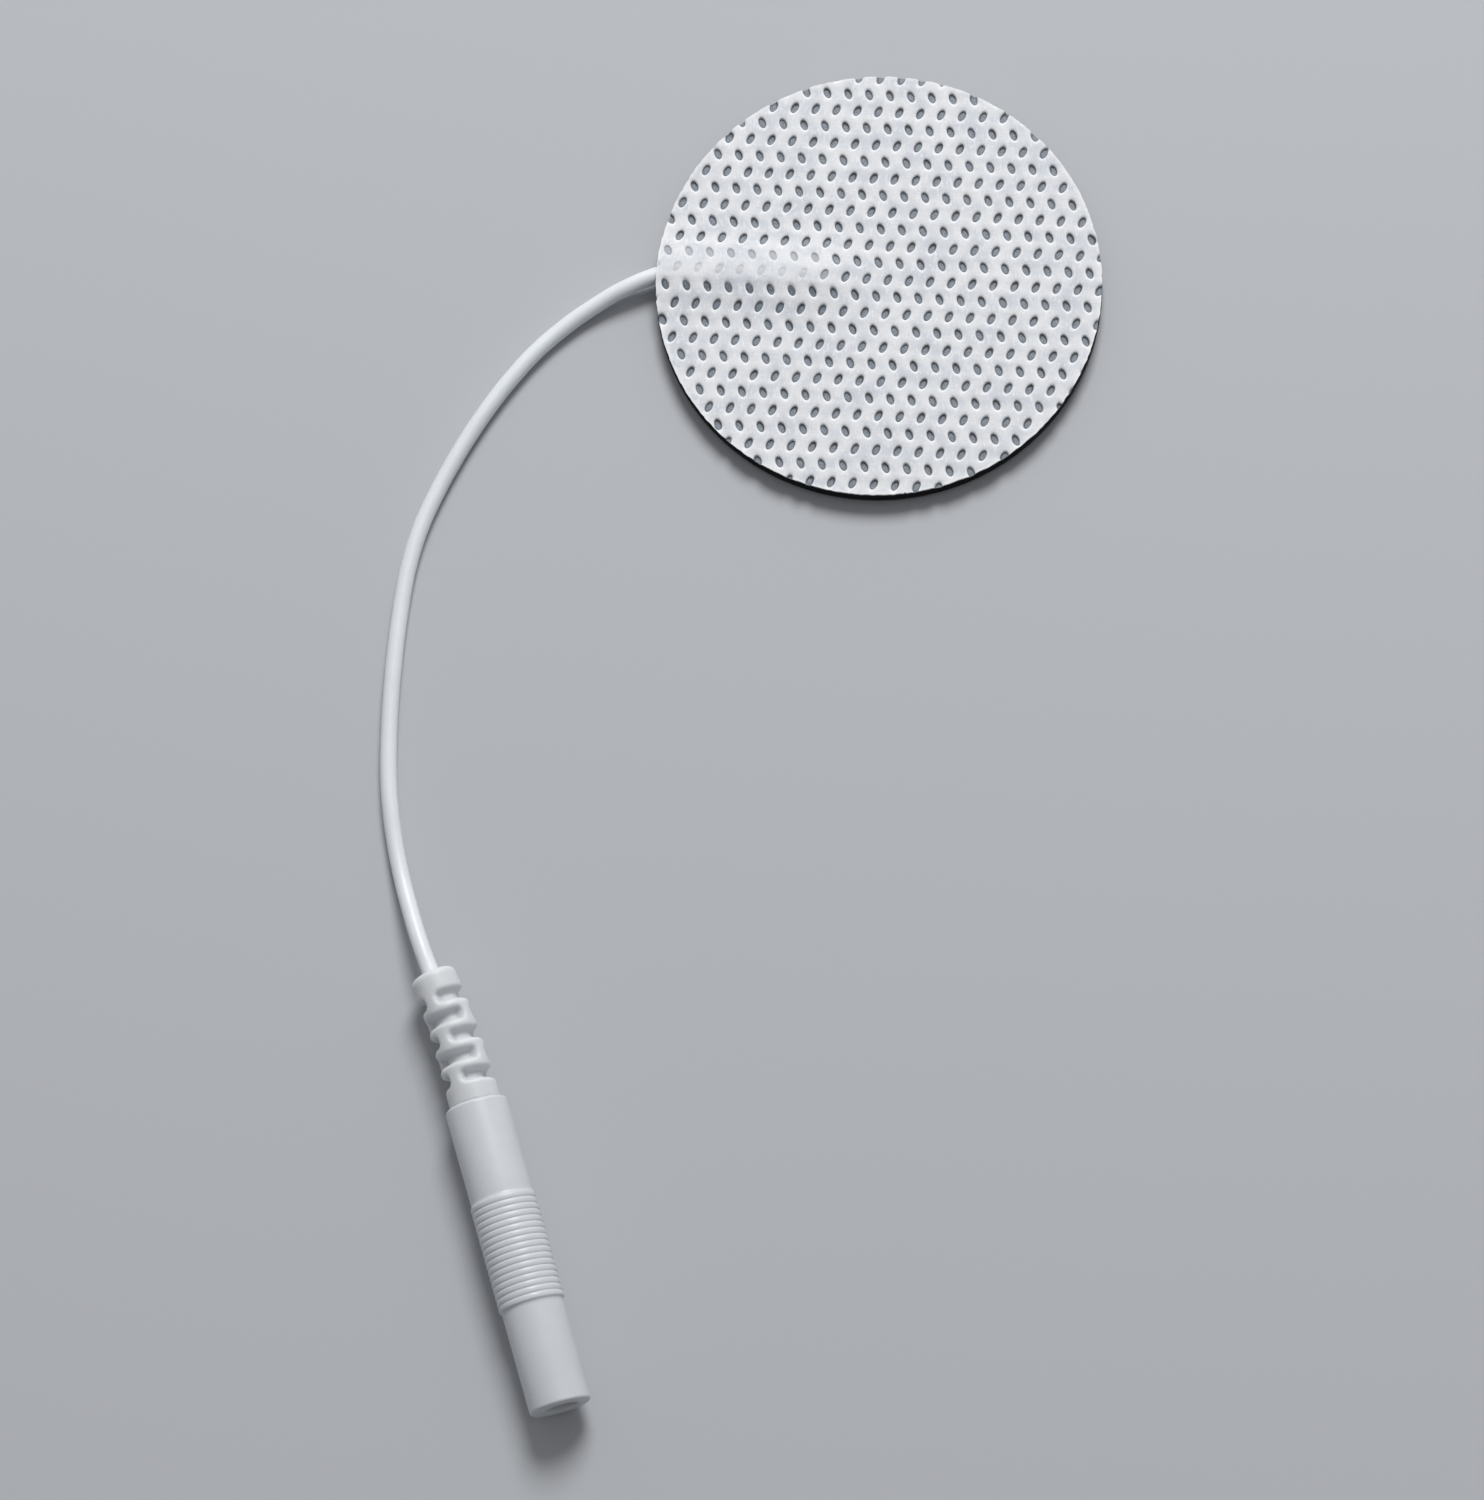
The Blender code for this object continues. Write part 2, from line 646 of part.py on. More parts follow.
def boot_rows():
    """(s, outer radius, radius in the slot's openings, slot number) of each row of the strain relief."""
    tip = -BOOT_LENGTH

    def outer(s):
        return BOOT_TIP_RADIUS + (BOOT_COLLAR_RADIUS - BOOT_TIP_RADIUS) * (s - tip) / BOOT_LENGTH

    rows = []

    def add(s, radius, open_radius=None, slot=None):
        rows.append((s, radius, radius if open_radius is None else open_radius, slot))

    add(tip, BOOT_TIP_RADIUS - BOOT_TIP_EDGE)
    add(tip + ROUND_CORNER * BOOT_TIP_EDGE, BOOT_TIP_RADIUS - ROUND_CORNER * BOOT_TIP_EDGE)
    add(tip + BOOT_TIP_EDGE, BOOT_TIP_RADIUS)
    s = tip + END_RING_LENGTH
    for slot in range(SLOT_COUNT):
        end = s + SLOT_LENGTH
        add(s - BOOT_EDGE, outer(s))
        add(s, outer(s), outer(s) - BOOT_EDGE, slot)
        add(s + SLOT_DRAFT, outer(s), BOOT_SLEEVE_RADIUS, slot)
        add(end - SLOT_DRAFT, outer(end), BOOT_SLEEVE_RADIUS, slot)
        add(end, outer(end), outer(end) - BOOT_EDGE, slot)
        add(end + BOOT_EDGE, outer(end))
        s = end + RING_LENGTH
    add(-SEAT_CLEARANCE, BOOT_COLLAR_RADIUS)
    add(-SEAT_CLEARANCE, SPIGOT_RADIUS)
    add(SPIGOT_LENGTH - BOOT_EDGE, SPIGOT_RADIUS)
    add(SPIGOT_LENGTH, SPIGOT_RADIUS - BOOT_EDGE)
    bore = LEAD_RADIUS + BOOT_BORE_CLEARANCE
    add(SPIGOT_LENGTH, bore)
    for s in np.linspace(tip + BOOT_BEND_LENGTH, tip, BOOT_BORE_ROWS - 1):
        add(s, bore)
    return rows


def boot_columns():
    """(angle, quarter) of each column: quarter 0 or 1 where it lies on a web, None between them."""
    half = math.asin(WEB_WIDTH / 2 / BOOT_COLLAR_RADIUS)
    columns = []
    for quarter in range(4):
        middle = WEB_TURN + quarter * math.pi / 2
        columns.append((middle - half - WEB_DRAFT, None))
        for turn in (-half, 0.0, half):
            columns.append((middle + turn, quarter % 2))
        columns.append((middle + half + WEB_DRAFT, None))
        columns.append((middle + math.pi / 4, None))
    return columns


def make_strain_relief(material):
    """Rows of rings round a gently bent axis: each slot is sunk to the sleeve except on its webs."""
    bm = bmesh.new()
    columns = boot_columns()
    rings = []
    for s, radius, open_radius, slot in boot_rows():
        slope = boot_slope(s)
        lean = 1 / math.hypot(1, slope)
        ring = []
        for angle, quarter in columns:
            on_web = slot is None or quarter == slot % 2
            reach = radius if on_web else open_radius
            side = -reach * math.sin(angle)
            place = Vector((s, -boot_sway(s), reach * math.cos(angle)))
            place += side * lean * Vector((slope, -1, 0))
            ring.append(bm.verts.new(place))
        rings.append(ring)
    count = len(columns)
    for k, one in enumerate(rings):
        two = rings[(k + 1) % len(rings)]
        for j in range(count):
            following = (j + 1) % count
            bm.faces.new((one[j], two[j], two[following], one[following]))
    bmesh.ops.recalc_face_normals(bm, faces=bm.faces)
    return add_object("strain_relief", bm, material)


def sleeve_profile():
    """The sleeve's section: outside with its ribs from rear to mouth, then back through its bores."""
    ribs_end = SLEEVE_LENGTH - RIBS_TO_MOUTH
    ribs_start = ribs_end - RIB_COUNT * RIB_PITCH
    profile = [
        (0, REAR_RADIUS - REAR_EDGE),
        (ROUND_CORNER * REAR_EDGE, REAR_RADIUS - ROUND_CORNER * REAR_EDGE),
        (REAR_EDGE, REAR_RADIUS),
        (ribs_start - RIB_PITCH / 4, REAR_RADIUS),
    ]
    for k in range(RIB_COUNT):
        profile.append((ribs_start + k * RIB_PITCH, RIB_VALLEY_RADIUS))
        profile.append((ribs_start + (k + 0.5) * RIB_PITCH, RIB_RADIUS))
    mouth = PIN_RADIUS + MOUTH_CLEARANCE
    profile += [
        (ribs_end, MOUTH_RADIUS),
        (SLEEVE_LENGTH - FRONT_EDGE, MOUTH_RADIUS),
        (SLEEVE_LENGTH - ROUND_CORNER * FRONT_EDGE, MOUTH_RADIUS - ROUND_CORNER * FRONT_EDGE),
        (SLEEVE_LENGTH, MOUTH_RADIUS - FRONT_EDGE),
        (SLEEVE_LENGTH, mouth + MOUTH_CHAMFER),
        (SLEEVE_LENGTH - MOUTH_CHAMFER, mouth),
        (SLEEVE_LENGTH - LIP_LENGTH, mouth),
        (SLEEVE_LENGTH - LIP_LENGTH, SOCKET_BORE),
        (SPIGOT_LENGTH + SEAT_CLEARANCE, SOCKET_BORE),
        (SPIGOT_LENGTH + SEAT_CLEARANCE, SPIGOT_RADIUS + SEAT_CLEARANCE),
        (0, SPIGOT_RADIUS + SEAT_CLEARANCE),
    ]
    return profile


def socket_profile():
    """The contact's section: the socket for the pin in front, the crimp barrel behind."""
    bore = PIN_RADIUS + PIN_CLEARANCE
    barrel = BARREL_BORE + BARREL_WALL
    return [
        (BARREL_BACK, BARREL_BORE),
        (BARREL_BACK, barrel),
        (SOCKET_BACK, barrel),
        (SOCKET_BACK, SOCKET_RADIUS - SOCKET_EDGE),
        (SOCKET_BACK + SOCKET_EDGE, SOCKET_RADIUS),
        (SOCKET_FRONT - SOCKET_EDGE, SOCKET_RADIUS),
        (SOCKET_FRONT, SOCKET_RADIUS - SOCKET_EDGE),
        (SOCKET_FRONT, bore + SOCKET_EDGE),
        (SOCKET_FRONT - SOCKET_EDGE, bore),
        (SOCKET_FRONT - SOCKET_DEPTH, bore),
        (SOCKET_FRONT - SOCKET_DEPTH, 0),
        (BARREL_BACK + BARREL_DEPTH, 0),
        (BARREL_BACK + BARREL_DEPTH, BARREL_BORE),
    ]


def make_socket_contact(material, seat):
    """The turned contact, slit across its mouth so that it springs onto the pin."""
    contact = lathe("socket_contact", socket_profile(), material)
    bm = bmesh.new()
    bmesh.ops.create_cube(bm, size=1.0)
    width = 2 * (SOCKET_RADIUS + CUTTER_SPARE)
    bmesh.ops.scale(bm, verts=bm.verts, vec=(2 * SLIT_LENGTH, width, SLIT_WIDTH))
    slit = add_object("slit_cutter", bm, material)
    slit.location = (SOCKET_FRONT, 0, 0)
    slit.parent = contact
    hide_helper(slit)
    cut = contact.modifiers.new("slit", "BOOLEAN")
    cut.operation = "DIFFERENCE"
    cut.object = slit
    place_on_connector(contact, seat)
    return contact


def make_crimped_core(material, seat):
    """The lead's bared core, from just past its jacket into the crimp barrel."""
    start = JACKET_END + STRAND_END_GAP
    end = BARREL_BACK + BARREL_DEPTH - STRAND_END_GAP
    profile = [(start, 0), (start, CORE_RADIUS), (end, CORE_RADIUS), (end, 0)]
    core = lathe("crimped_core", profile, material, CORE_SIDES)
    place_on_connector(core, seat)
    return core


def main():
    clear_scene()
    white_plastic = make_material("white plastic", WHITE_PLASTIC, 0.42)
    copper = make_material("tinned copper", TINNED_COPPER, 0.35, 1.0)
    make_backing_fabric(make_material("non-woven fabric", WHITE_FABRIC, 0.9))
    make_conductive_film(make_material("carbon film", BLACK_CARBON, 0.5))
    make_hydrogel(make_material("conductive gel", DARK_GEL, 0.15))
    make_conductor_fan(copper)
    make_lead(make_material("lead jacket", WHITE_PLASTIC, 0.45))
    seat, _, _ = connector_seat()
    place_on_connector(make_strain_relief(white_plastic), seat)
    place_on_connector(lathe("connector_sleeve", sleeve_profile(), white_plastic), seat)
    make_socket_contact(make_material("nickel plate", NICKEL, 0.25, 1.0), seat)
    make_crimped_core(copper, seat)


main()
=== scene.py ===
"""The looks of one round self-adhesive electrode pad, with its lead and socket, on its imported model."""

import math

import bmesh
import bpy
from mathutils import Matrix, Quaternion, Vector, noise


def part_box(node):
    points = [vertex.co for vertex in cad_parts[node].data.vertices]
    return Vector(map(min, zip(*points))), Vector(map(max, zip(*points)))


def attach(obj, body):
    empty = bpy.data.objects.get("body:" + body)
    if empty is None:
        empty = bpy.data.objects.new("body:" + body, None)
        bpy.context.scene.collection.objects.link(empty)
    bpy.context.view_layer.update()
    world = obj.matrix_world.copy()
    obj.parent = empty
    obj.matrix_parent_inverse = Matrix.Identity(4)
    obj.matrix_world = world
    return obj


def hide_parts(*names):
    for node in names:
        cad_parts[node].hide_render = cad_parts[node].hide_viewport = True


MM = 0.001

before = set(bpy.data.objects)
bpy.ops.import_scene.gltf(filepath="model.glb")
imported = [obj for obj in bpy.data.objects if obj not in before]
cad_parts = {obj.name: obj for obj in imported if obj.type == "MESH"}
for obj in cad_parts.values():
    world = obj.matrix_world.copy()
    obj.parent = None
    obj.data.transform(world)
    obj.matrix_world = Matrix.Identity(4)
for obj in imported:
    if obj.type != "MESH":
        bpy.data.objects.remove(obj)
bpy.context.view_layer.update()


# The camera stands where the photographer stood, almost straight over the pad and a little
# towards its near side. It is turned so that the pad, the lead and the connector fill the frame.

VIEWPOINT = Vector((16.89, -140.96, 373.26)) * MM
LOOKING_AT = Vector((-7.34, -35.49, 1.5)) * MM
CAMERA_ROLL = math.radians(-9.19)
FOCAL_LENGTH = 132.0
NEAREST_SEEN = 20 * MM

camera_data = bpy.data.cameras.new("camera")
camera_data.lens = FOCAL_LENGTH
camera_data.clip_start = NEAREST_SEEN
camera = bpy.data.objects.new("camera", camera_data)
camera.location = VIEWPOINT
camera.rotation_mode = "QUATERNION"
level_view = (LOOKING_AT - VIEWPOINT).to_track_quat("-Z", "Y")
camera.rotation_quaternion = level_view @ Quaternion((0, 0, 1), CAMERA_ROLL)
bpy.context.scene.collection.objects.link(camera)
bpy.context.scene.camera = camera


# The lead: one tinned copper core in an extruded jacket of soft white PVC, 1.2 mm thick. It runs
# 11 mm under the backing fabric, lies in one long loose curve and ends in the crimp barrel.

LEAD_DIAMETER = 1.2 * MM
JACKET_WHITE = (0.79, 0.82, 0.85)
SCATTER_LENGTH = 0.7 * MM
LEAD_POINTS = [
    (-5.2, 0.15, 1.28),
    (-9.85, 0.15, 1.28),
    (-14.5, 0.15, 1.28),
    (-15.0, 0.117, 1.28),
    (-15.5, 0.017, 1.28),
    (-16.0, -0.15, 1.28),
    (-18.355, -1.273, 1.095),
    (-20.545, -2.702, 0.765),
    (-22.56, -4.367, 0.62),
    (-24.372, -6.25, 0.62),
    (-25.948, -8.336, 0.62),
    (-27.357, -10.539, 0.62),
    (-28.615, -12.831, 0.62),
    (-29.743, -15.191, 0.62),
    (-30.739, -17.608, 0.62),
    (-31.567, -20.088, 0.62),
    (-32.117, -22.643, 0.62),
    (-32.402, -25.243, 0.62),
    (-32.537, -27.854, 0.62),
    (-32.588, -30.469, 0.62),
    (-32.565, -33.084, 0.62),
    (-32.456, -35.697, 0.62),
    (-32.254, -38.304, 0.62),
    (-31.89, -40.894, 0.62),
    (-31.336, -43.449, 0.62),
    (-30.614, -45.962, 0.823),
    (-29.744, -48.429, 1.411),
    (-28.784, -50.861, 2.032),
    (-27.7, -53.24, 2.32),
    (-26.873, -54.854, 2.32),
    (-26.105, -56.489, 2.32),
    (-25.395, -58.146, 2.32),
    (-24.745, -59.825, 2.32),
    (-22.369, -66.281, 2.32),
    (-21.592, -68.393, 2.32),
]


def new_finish(name, roughness):
    """An empty finish: its material and its shader."""
    material = bpy.data.materials.new(name)
    material.use_nodes = True
    shader = material.node_tree.nodes["Principled BSDF"]
    shader.inputs["Roughness"].default_value = roughness
    return material, shader


def grain(material, size, detail=3.0, stretch=(1, 1, 1), turn=0.0):
    """A noise on Object coordinates whose lumps are about that size, as a value from 0 to 1."""
    nodes = material.node_tree.nodes
    links = material.node_tree.links
    place = nodes.new("ShaderNodeTexCoord")
    turned = nodes.new("ShaderNodeMapping")
    turned.inputs["Scale"].default_value = stretch
    turned.inputs["Rotation"].default_value = (0, 0, turn)
    lumps = nodes.new("ShaderNodeTexNoise")
    lumps.inputs["Scale"].default_value = 1 / size
    lumps.inputs["Detail"].default_value = detail
    links.new(place.outputs["Object"], turned.inputs["Vector"])
    links.new(turned.outputs["Vector"], lumps.inputs["Vector"])
    return lumps.outputs["Fac"]


def rescaled(material, value, low, high, new_low=0.0, new_high=1.0):
    """The value with low to high spread to new_low to new_high, smoothly and held at the ends."""
    spread = material.node_tree.nodes.new("ShaderNodeMapRange")
    spread.interpolation_type = "SMOOTHSTEP"
    spread.inputs["From Min"].default_value = low
    spread.inputs["From Max"].default_value = high
    spread.inputs["To Min"].default_value = new_low
    spread.inputs["To Max"].default_value = new_high
    material.node_tree.links.new(value, spread.inputs["Value"])
    return spread.outputs["Result"]


def mixed(material, share, first, second):
    """A colour between two, each a tuple or another node's colour."""
    mix = material.node_tree.nodes.new("ShaderNodeMix")
    mix.data_type = "RGBA"
    mix.clamp_factor = True
    material.node_tree.links.new(share, mix.inputs["Factor"])
    for socket, colour in ((mix.inputs[6], first), (mix.inputs[7], second)):
        if isinstance(colour, tuple):
            socket.default_value = (*colour, 1.0)
        else:
            material.node_tree.links.new(colour, socket)
    return mix.outputs[2]


def relief(material, shader, height, depth, strength, under=None):
    """Raises the shading by a height value, on top of another relief if one is given."""
    bump = material.node_tree.nodes.new("ShaderNodeBump")
    bump.inputs["Strength"].default_value = strength
    bump.inputs["Distance"].default_value = depth
    material.node_tree.links.new(height, bump.inputs["Height"])
    if under is not None:
        material.node_tree.links.new(under, bump.inputs["Normal"])
    material.node_tree.links.new(bump.outputs["Normal"], shader.inputs["Normal"])
    return bump.outputs["Normal"]


def tinted(colour, factor):
    """The colour made darker, or paler with a factor over 1."""
    return tuple(channel * factor for channel in colour)


def let_light_in(shader, share):
    """Gives soft PVC its glow: a share of the light scatters a little way under the surface."""
    shader.inputs["Subsurface Weight"].default_value = share
    shader.inputs["Subsurface Radius"].default_value = (1.0, 1.0, 1.0)
    shader.inputs["Subsurface Scale"].default_value = SCATTER_LENGTH


jacket, jacket_shader = new_finish("lead jacket", 0.36)
let_light_in(jacket_shader, 0.8)
jacket_cloud = rescaled(jacket, grain(jacket, 6 * MM, 2.0), 0.35, 0.65)
jacket_colour = mixed(jacket, jacket_cloud, tinted(JACKET_WHITE, 0.96), JACKET_WHITE)
jacket.node_tree.links.new(jacket_colour, jacket_shader.inputs["Base Color"])
jacket_skin = grain(jacket, 0.12 * MM, 4.0)
relief(jacket, jacket_shader, jacket_skin, 0.006 * MM, 0.5)
jacket_gloss = rescaled(jacket, grain(jacket, 1.2 * MM), 0.3, 0.7, 0.32, 0.46)
jacket.node_tree.links.new(jacket_gloss, jacket_shader.inputs["Roughness"])

lead_curve = bpy.data.curves.new("lead_jacket", "CURVE")
lead_curve.dimensions = "3D"
lead_curve.bevel_depth = LEAD_DIAMETER / 2
lead_curve.bevel_resolution = 6
lead_curve.use_fill_caps = True
lead_curve.resolution_u = 6
lead_line = lead_curve.splines.new("BEZIER")
lead_line.bezier_points.add(len(LEAD_POINTS) - 1)
for knot, place in zip(lead_line.bezier_points, LEAD_POINTS):
    knot.co = Vector(place) * MM
    knot.handle_left_type = "AUTO"
    knot.handle_right_type = "AUTO"
lead_curve.materials.append(jacket)
lead = bpy.data.objects.new("lead_jacket", lead_curve)
bpy.context.scene.collection.objects.link(lead)
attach(lead, "root")
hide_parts("lead_wire")


# The strain relief: soft white PVC moulded round the lead as rings that pairs of webs join, each
# pair a quarter turn from the last. All its edges are well rounded and its axis bends a little.

CONNECTOR_SEAT = Vector((-23.8537, -62.2458, 2.32)) * MM
CONNECTOR_ANGLE = math.radians(-69.8)
BOOT_LENGTH = 9.78 * MM
TIP_RADIUS = 1.62 * MM
COLLAR_RADIUS = 1.81 * MM
TIP_ROUNDING = 0.38 * MM
CORE_RADIUS = 1.05 * MM
END_RING_LENGTH = 1.65 * MM
RING_LENGTH = 0.665 * MM
SLOT_LENGTH = 0.80 * MM
SLOT_COUNT = 5
SLOT_CORNER = 0.34 * MM
SLOT_REACH = math.radians(71.5)
WEB_TURN = math.radians(-30)
EDGE_ROUNDING = 0.30 * MM
EDGE_SHARE = 0.42
FLOOR_FILLET = 0.30 * MM
BOOT_BEND = 0.50 * MM
BOOT_BEND_LENGTH = 7.2 * MM
SPIGOT_RADIUS = 1.50 * MM
SPIGOT_LENGTH = 4.30 * MM
SPIGOT_CHAMFER = 0.12 * MM
LEAD_BORE = 0.66 * MM
SEAT_GAP = 0.05 * MM
BOOT_STEP = 0.05 * MM
BOOT_SIDES = 120
BORE_STEPS = 12
ROUND_STEPS = 6
MERGE_DISTANCE = 1e-7
BOOT_WHITE = (0.70, 0.715, 0.735)


def held(value):
    """The value kept from 0 to 1."""
    return min(max(value, 0.0), 1.0)


def moulded_finish(name, colour, roughness, speckle):
    """Satin moulded plastic: a faint cloud in the colour and the fine texture of the mould."""
    material, shader = new_finish(name, roughness)
    cloud = rescaled(material, grain(material, 3 * MM, 2.0), 0.35, 0.65)
    body = mixed(material, cloud, tinted(colour, 0.965), colour)
    specks = rescaled(material, grain(material, 0.25 * MM, 2.0), 0.62, 0.72)
    speckled = mixed(material, specks, body, tinted(colour, 1 - speckle))
    material.node_tree.links.new(speckled, shader.inputs["Base Color"])
    gloss = rescaled(material, grain(material, 0.8 * MM), 0.3, 0.7, roughness - 0.06, roughness + 0.08)
    material.node_tree.links.new(gloss, shader.inputs["Roughness"])
    relief(material, shader, grain(material, 0.09 * MM, 3.0), 0.006 * MM, 0.6)
    return material


def add_piece(name, mesh, material, sharp_from):
    """The finished mesh as a piece that rides on the part, shaded smooth up to that angle."""
    mesh.shade_smooth()
    mesh.set_sharp_from_angle(angle=math.radians(sharp_from))
    mesh.materials.clear()
    mesh.materials.append(material)
    piece = bpy.data.objects.new(name, mesh)
    bpy.context.scene.collection.objects.link(piece)
    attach(piece, "root")
    return piece


def rounded_corner(x, radius, rounding, inwards):
    """Points round an outer corner at the end face at x, whose tube lies towards +X or -X of it."""
    turns = [math.pi / 2 * k / ROUND_STEPS for k in range(ROUND_STEPS + 1)]
    corner = [
        (x + inwards * rounding * (1 - math.sin(turn)), radius - rounding * (1 - math.cos(turn)))
        for turn in turns
    ]
    return corner if inwards < 0 else corner[::-1]


def spun(outline, sides):
    """A bmesh of a closed outline of (x, radius) points, spun round the X axis."""
    form = bmesh.new()
    corners = [form.verts.new((x, 0, radius)) for x, radius in outline]
    for k, corner in enumerate(corners):
        form.edges.new((corner, corners[(k + 1) % len(corners)]))
    bmesh.ops.spin(
        form,
        geom=form.verts[:] + form.edges[:],
        axis=(1, 0, 0),
        cent=(0, 0, 0),
        steps=sides,
        angle=2 * math.pi,
        use_merge=True,
    )
    bmesh.ops.remove_doubles(form, verts=form.verts, dist=MERGE_DISTANCE)
    bmesh.ops.recalc_face_normals(form, faces=form.faces)
    return form


def on_connector(form, name):
    """The finished mesh of a form that was made along +X from the sleeve's rear face."""
    place = Matrix.Translation(CONNECTOR_SEAT) @ Matrix.Rotation(CONNECTOR_ANGLE, 4, "Z")
    bmesh.ops.transform(form, matrix=place, verts=form.verts)
    mesh = bpy.data.meshes.new(name)
    form.to_mesh(mesh)
    form.free()
    return mesh


def boot_radius(x):
    """The boot's outer radius, which grows evenly from its tip to its collar."""
    return TIP_RADIUS + (COLLAR_RADIUS - TIP_RADIUS) * (x + BOOT_LENGTH) / BOOT_LENGTH


def slot_distance(x, turn):
    """How far a place on the outside lies from the nearest slot's edge, below 0 inside the slot."""
    nearest = EDGE_ROUNDING
    for slot in range(SLOT_COUNT):
        middle = -BOOT_LENGTH + END_RING_LENGTH + SLOT_LENGTH / 2 + slot * (SLOT_LENGTH + RING_LENGTH)
        opening = WEB_TURN + math.pi / 2 * (1 + slot % 2)
        off = abs((turn - opening + math.pi / 2) % math.pi - math.pi / 2)
        along = abs(x - middle) - SLOT_LENGTH / 2 + SLOT_CORNER
        around = boot_radius(x) * (off - SLOT_REACH) + SLOT_CORNER
        outside = math.hypot(max(along, 0.0), max(around, 0.0))
        nearest = min(nearest, outside + min(max(along, around), 0.0) - SLOT_CORNER)
    return nearest


def slot_drop(distance, depth):
    """How deep the surface lies there: a rounded edge, a steep wall and a filleted floor."""
    edge = EDGE_SHARE * depth
    if distance > 0:
        return edge * (1 - math.sqrt(1 - (1 - distance / EDGE_ROUNDING) ** 2))
    return edge + (depth - edge) * math.sin(math.pi / 2 * held(-distance / FLOOR_FILLET))


boot_outline = [(-BOOT_LENGTH, LEAD_BORE)]
boot_outline += rounded_corner(-BOOT_LENGTH, TIP_RADIUS, TIP_ROUNDING, 1)
outside_length = BOOT_LENGTH - TIP_ROUNDING - SEAT_GAP
outside_steps = round(outside_length / BOOT_STEP)
for k in range(1, outside_steps + 1):
    x = -BOOT_LENGTH + TIP_ROUNDING + outside_length * k / outside_steps
    boot_outline.append((x, boot_radius(x)))
boot_outline += [
    (-SEAT_GAP, SPIGOT_RADIUS),
    (SPIGOT_LENGTH - SPIGOT_CHAMFER, SPIGOT_RADIUS),
    (SPIGOT_LENGTH, SPIGOT_RADIUS - SPIGOT_CHAMFER),
    (SPIGOT_LENGTH, LEAD_BORE),
    (0, LEAD_BORE),
]
for k in range(BORE_STEPS, 0, -1):
    boot_outline.append((-BOOT_LENGTH + BOOT_BEND_LENGTH * k / BORE_STEPS, LEAD_BORE))
boot_form = spun(boot_outline, BOOT_SIDES)
for vert in boot_form.verts:
    x, y, z = vert.co
    reach = math.hypot(y, z)
    if -BOOT_LENGTH + TIP_ROUNDING < x < 0 and reach > CORE_RADIUS:
        depth = boot_radius(x) - CORE_RADIUS
        share = 1 - slot_drop(slot_distance(x, math.atan2(y, z)), depth) / reach
        y *= share
        z *= share
    bent = held((-x - (BOOT_LENGTH - BOOT_BEND_LENGTH)) / BOOT_BEND_LENGTH)
    slope = 2 * BOOT_BEND * bent / BOOT_BEND_LENGTH
    lean = 1 / math.hypot(1, slope)
    vert.co = (x - y * lean * slope, y * lean - BOOT_BEND * bent**2, z)
boot_plastic = moulded_finish("boot plastic", BOOT_WHITE, 0.44, 0.05)
let_light_in(boot_plastic.node_tree.nodes["Principled BSDF"], 1.0)
boot_mesh = on_connector(boot_form, "strain_relief_boot")
boot = add_piece("strain_relief_boot", boot_mesh, boot_plastic, 60)
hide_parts("strain_relief")


# The sleeve: one straight injection-moulded tube in satin white, with 17 fine rounded grip rings
# and a short plain nose. Its open end shows the mouth for the 2 mm pin.

SLEEVE_LENGTH = 22.0 * MM
REAR_RADIUS = 2.20 * MM
NOSE_RADIUS = 2.16 * MM
SHOULDER_ROUNDING = 0.30 * MM
NOSE_ROUNDING = 0.24 * MM
RIB_COUNT = 17
RIB_PITCH = 0.449 * MM
RIB_TOP = 2.31 * MM
RIB_FOOT = 2.25 * MM
RIB_FULLNESS = 1.3
RIB_STEPS = 8
RIBS_END = 14.68 * MM
LAST_GROOVE = 0.04 * MM
BARREL_END_GAPS = (0.25 * MM, 0.10 * MM)
NOSE_START_GAPS = (0.15 * MM, 0.30 * MM)
SLEEVE_SIDES = 96
MOUTH_RADIUS = 1.12 * MM
MOUTH_CHAMFER = 0.15 * MM
LIP_LENGTH = 1.10 * MM
SOCKET_BORE = 1.40 * MM
SPIGOT_BORE = 1.55 * MM
SPIGOT_DEPTH = 4.35 * MM
SLEEVE_WHITE = (0.655, 0.675, 0.705)

sleeve_outline = rounded_corner(0, REAR_RADIUS, SHOULDER_ROUNDING, 1)
ribs_start = RIBS_END - RIB_COUNT * RIB_PITCH
sleeve_outline += [(ribs_start - gap, REAR_RADIUS) for gap in BARREL_END_GAPS]
for rib in range(RIB_COUNT):
    for k in range(RIB_STEPS):
        across = k / RIB_STEPS
        arch = math.sqrt(1 - (2 * across - 1) ** 2) ** RIB_FULLNESS
        radius = RIB_FOOT + (RIB_TOP - RIB_FOOT) * arch
        sleeve_outline.append((ribs_start + (rib + across) * RIB_PITCH, radius))
sleeve_outline.append((RIBS_END, RIB_FOOT - LAST_GROOVE))
sleeve_outline += [(RIBS_END + gap, NOSE_RADIUS) for gap in NOSE_START_GAPS]
sleeve_outline += rounded_corner(SLEEVE_LENGTH, NOSE_RADIUS, NOSE_ROUNDING, -1)
sleeve_outline += [
    (SLEEVE_LENGTH, MOUTH_RADIUS + MOUTH_CHAMFER),
    (SLEEVE_LENGTH - MOUTH_CHAMFER / 3, MOUTH_RADIUS + MOUTH_CHAMFER / 3),
    (SLEEVE_LENGTH - MOUTH_CHAMFER, MOUTH_RADIUS),
    (SLEEVE_LENGTH - LIP_LENGTH, MOUTH_RADIUS),
    (SLEEVE_LENGTH - LIP_LENGTH, SOCKET_BORE),
    (SPIGOT_DEPTH, SOCKET_BORE),
    (SPIGOT_DEPTH, SPIGOT_BORE),
    (0, SPIGOT_BORE),
]
sleeve_plastic = moulded_finish("sleeve plastic", SLEEVE_WHITE, 0.40, 0.06)
sleeve_mesh = on_connector(spun(sleeve_outline, SLEEVE_SIDES), "grip_sleeve")
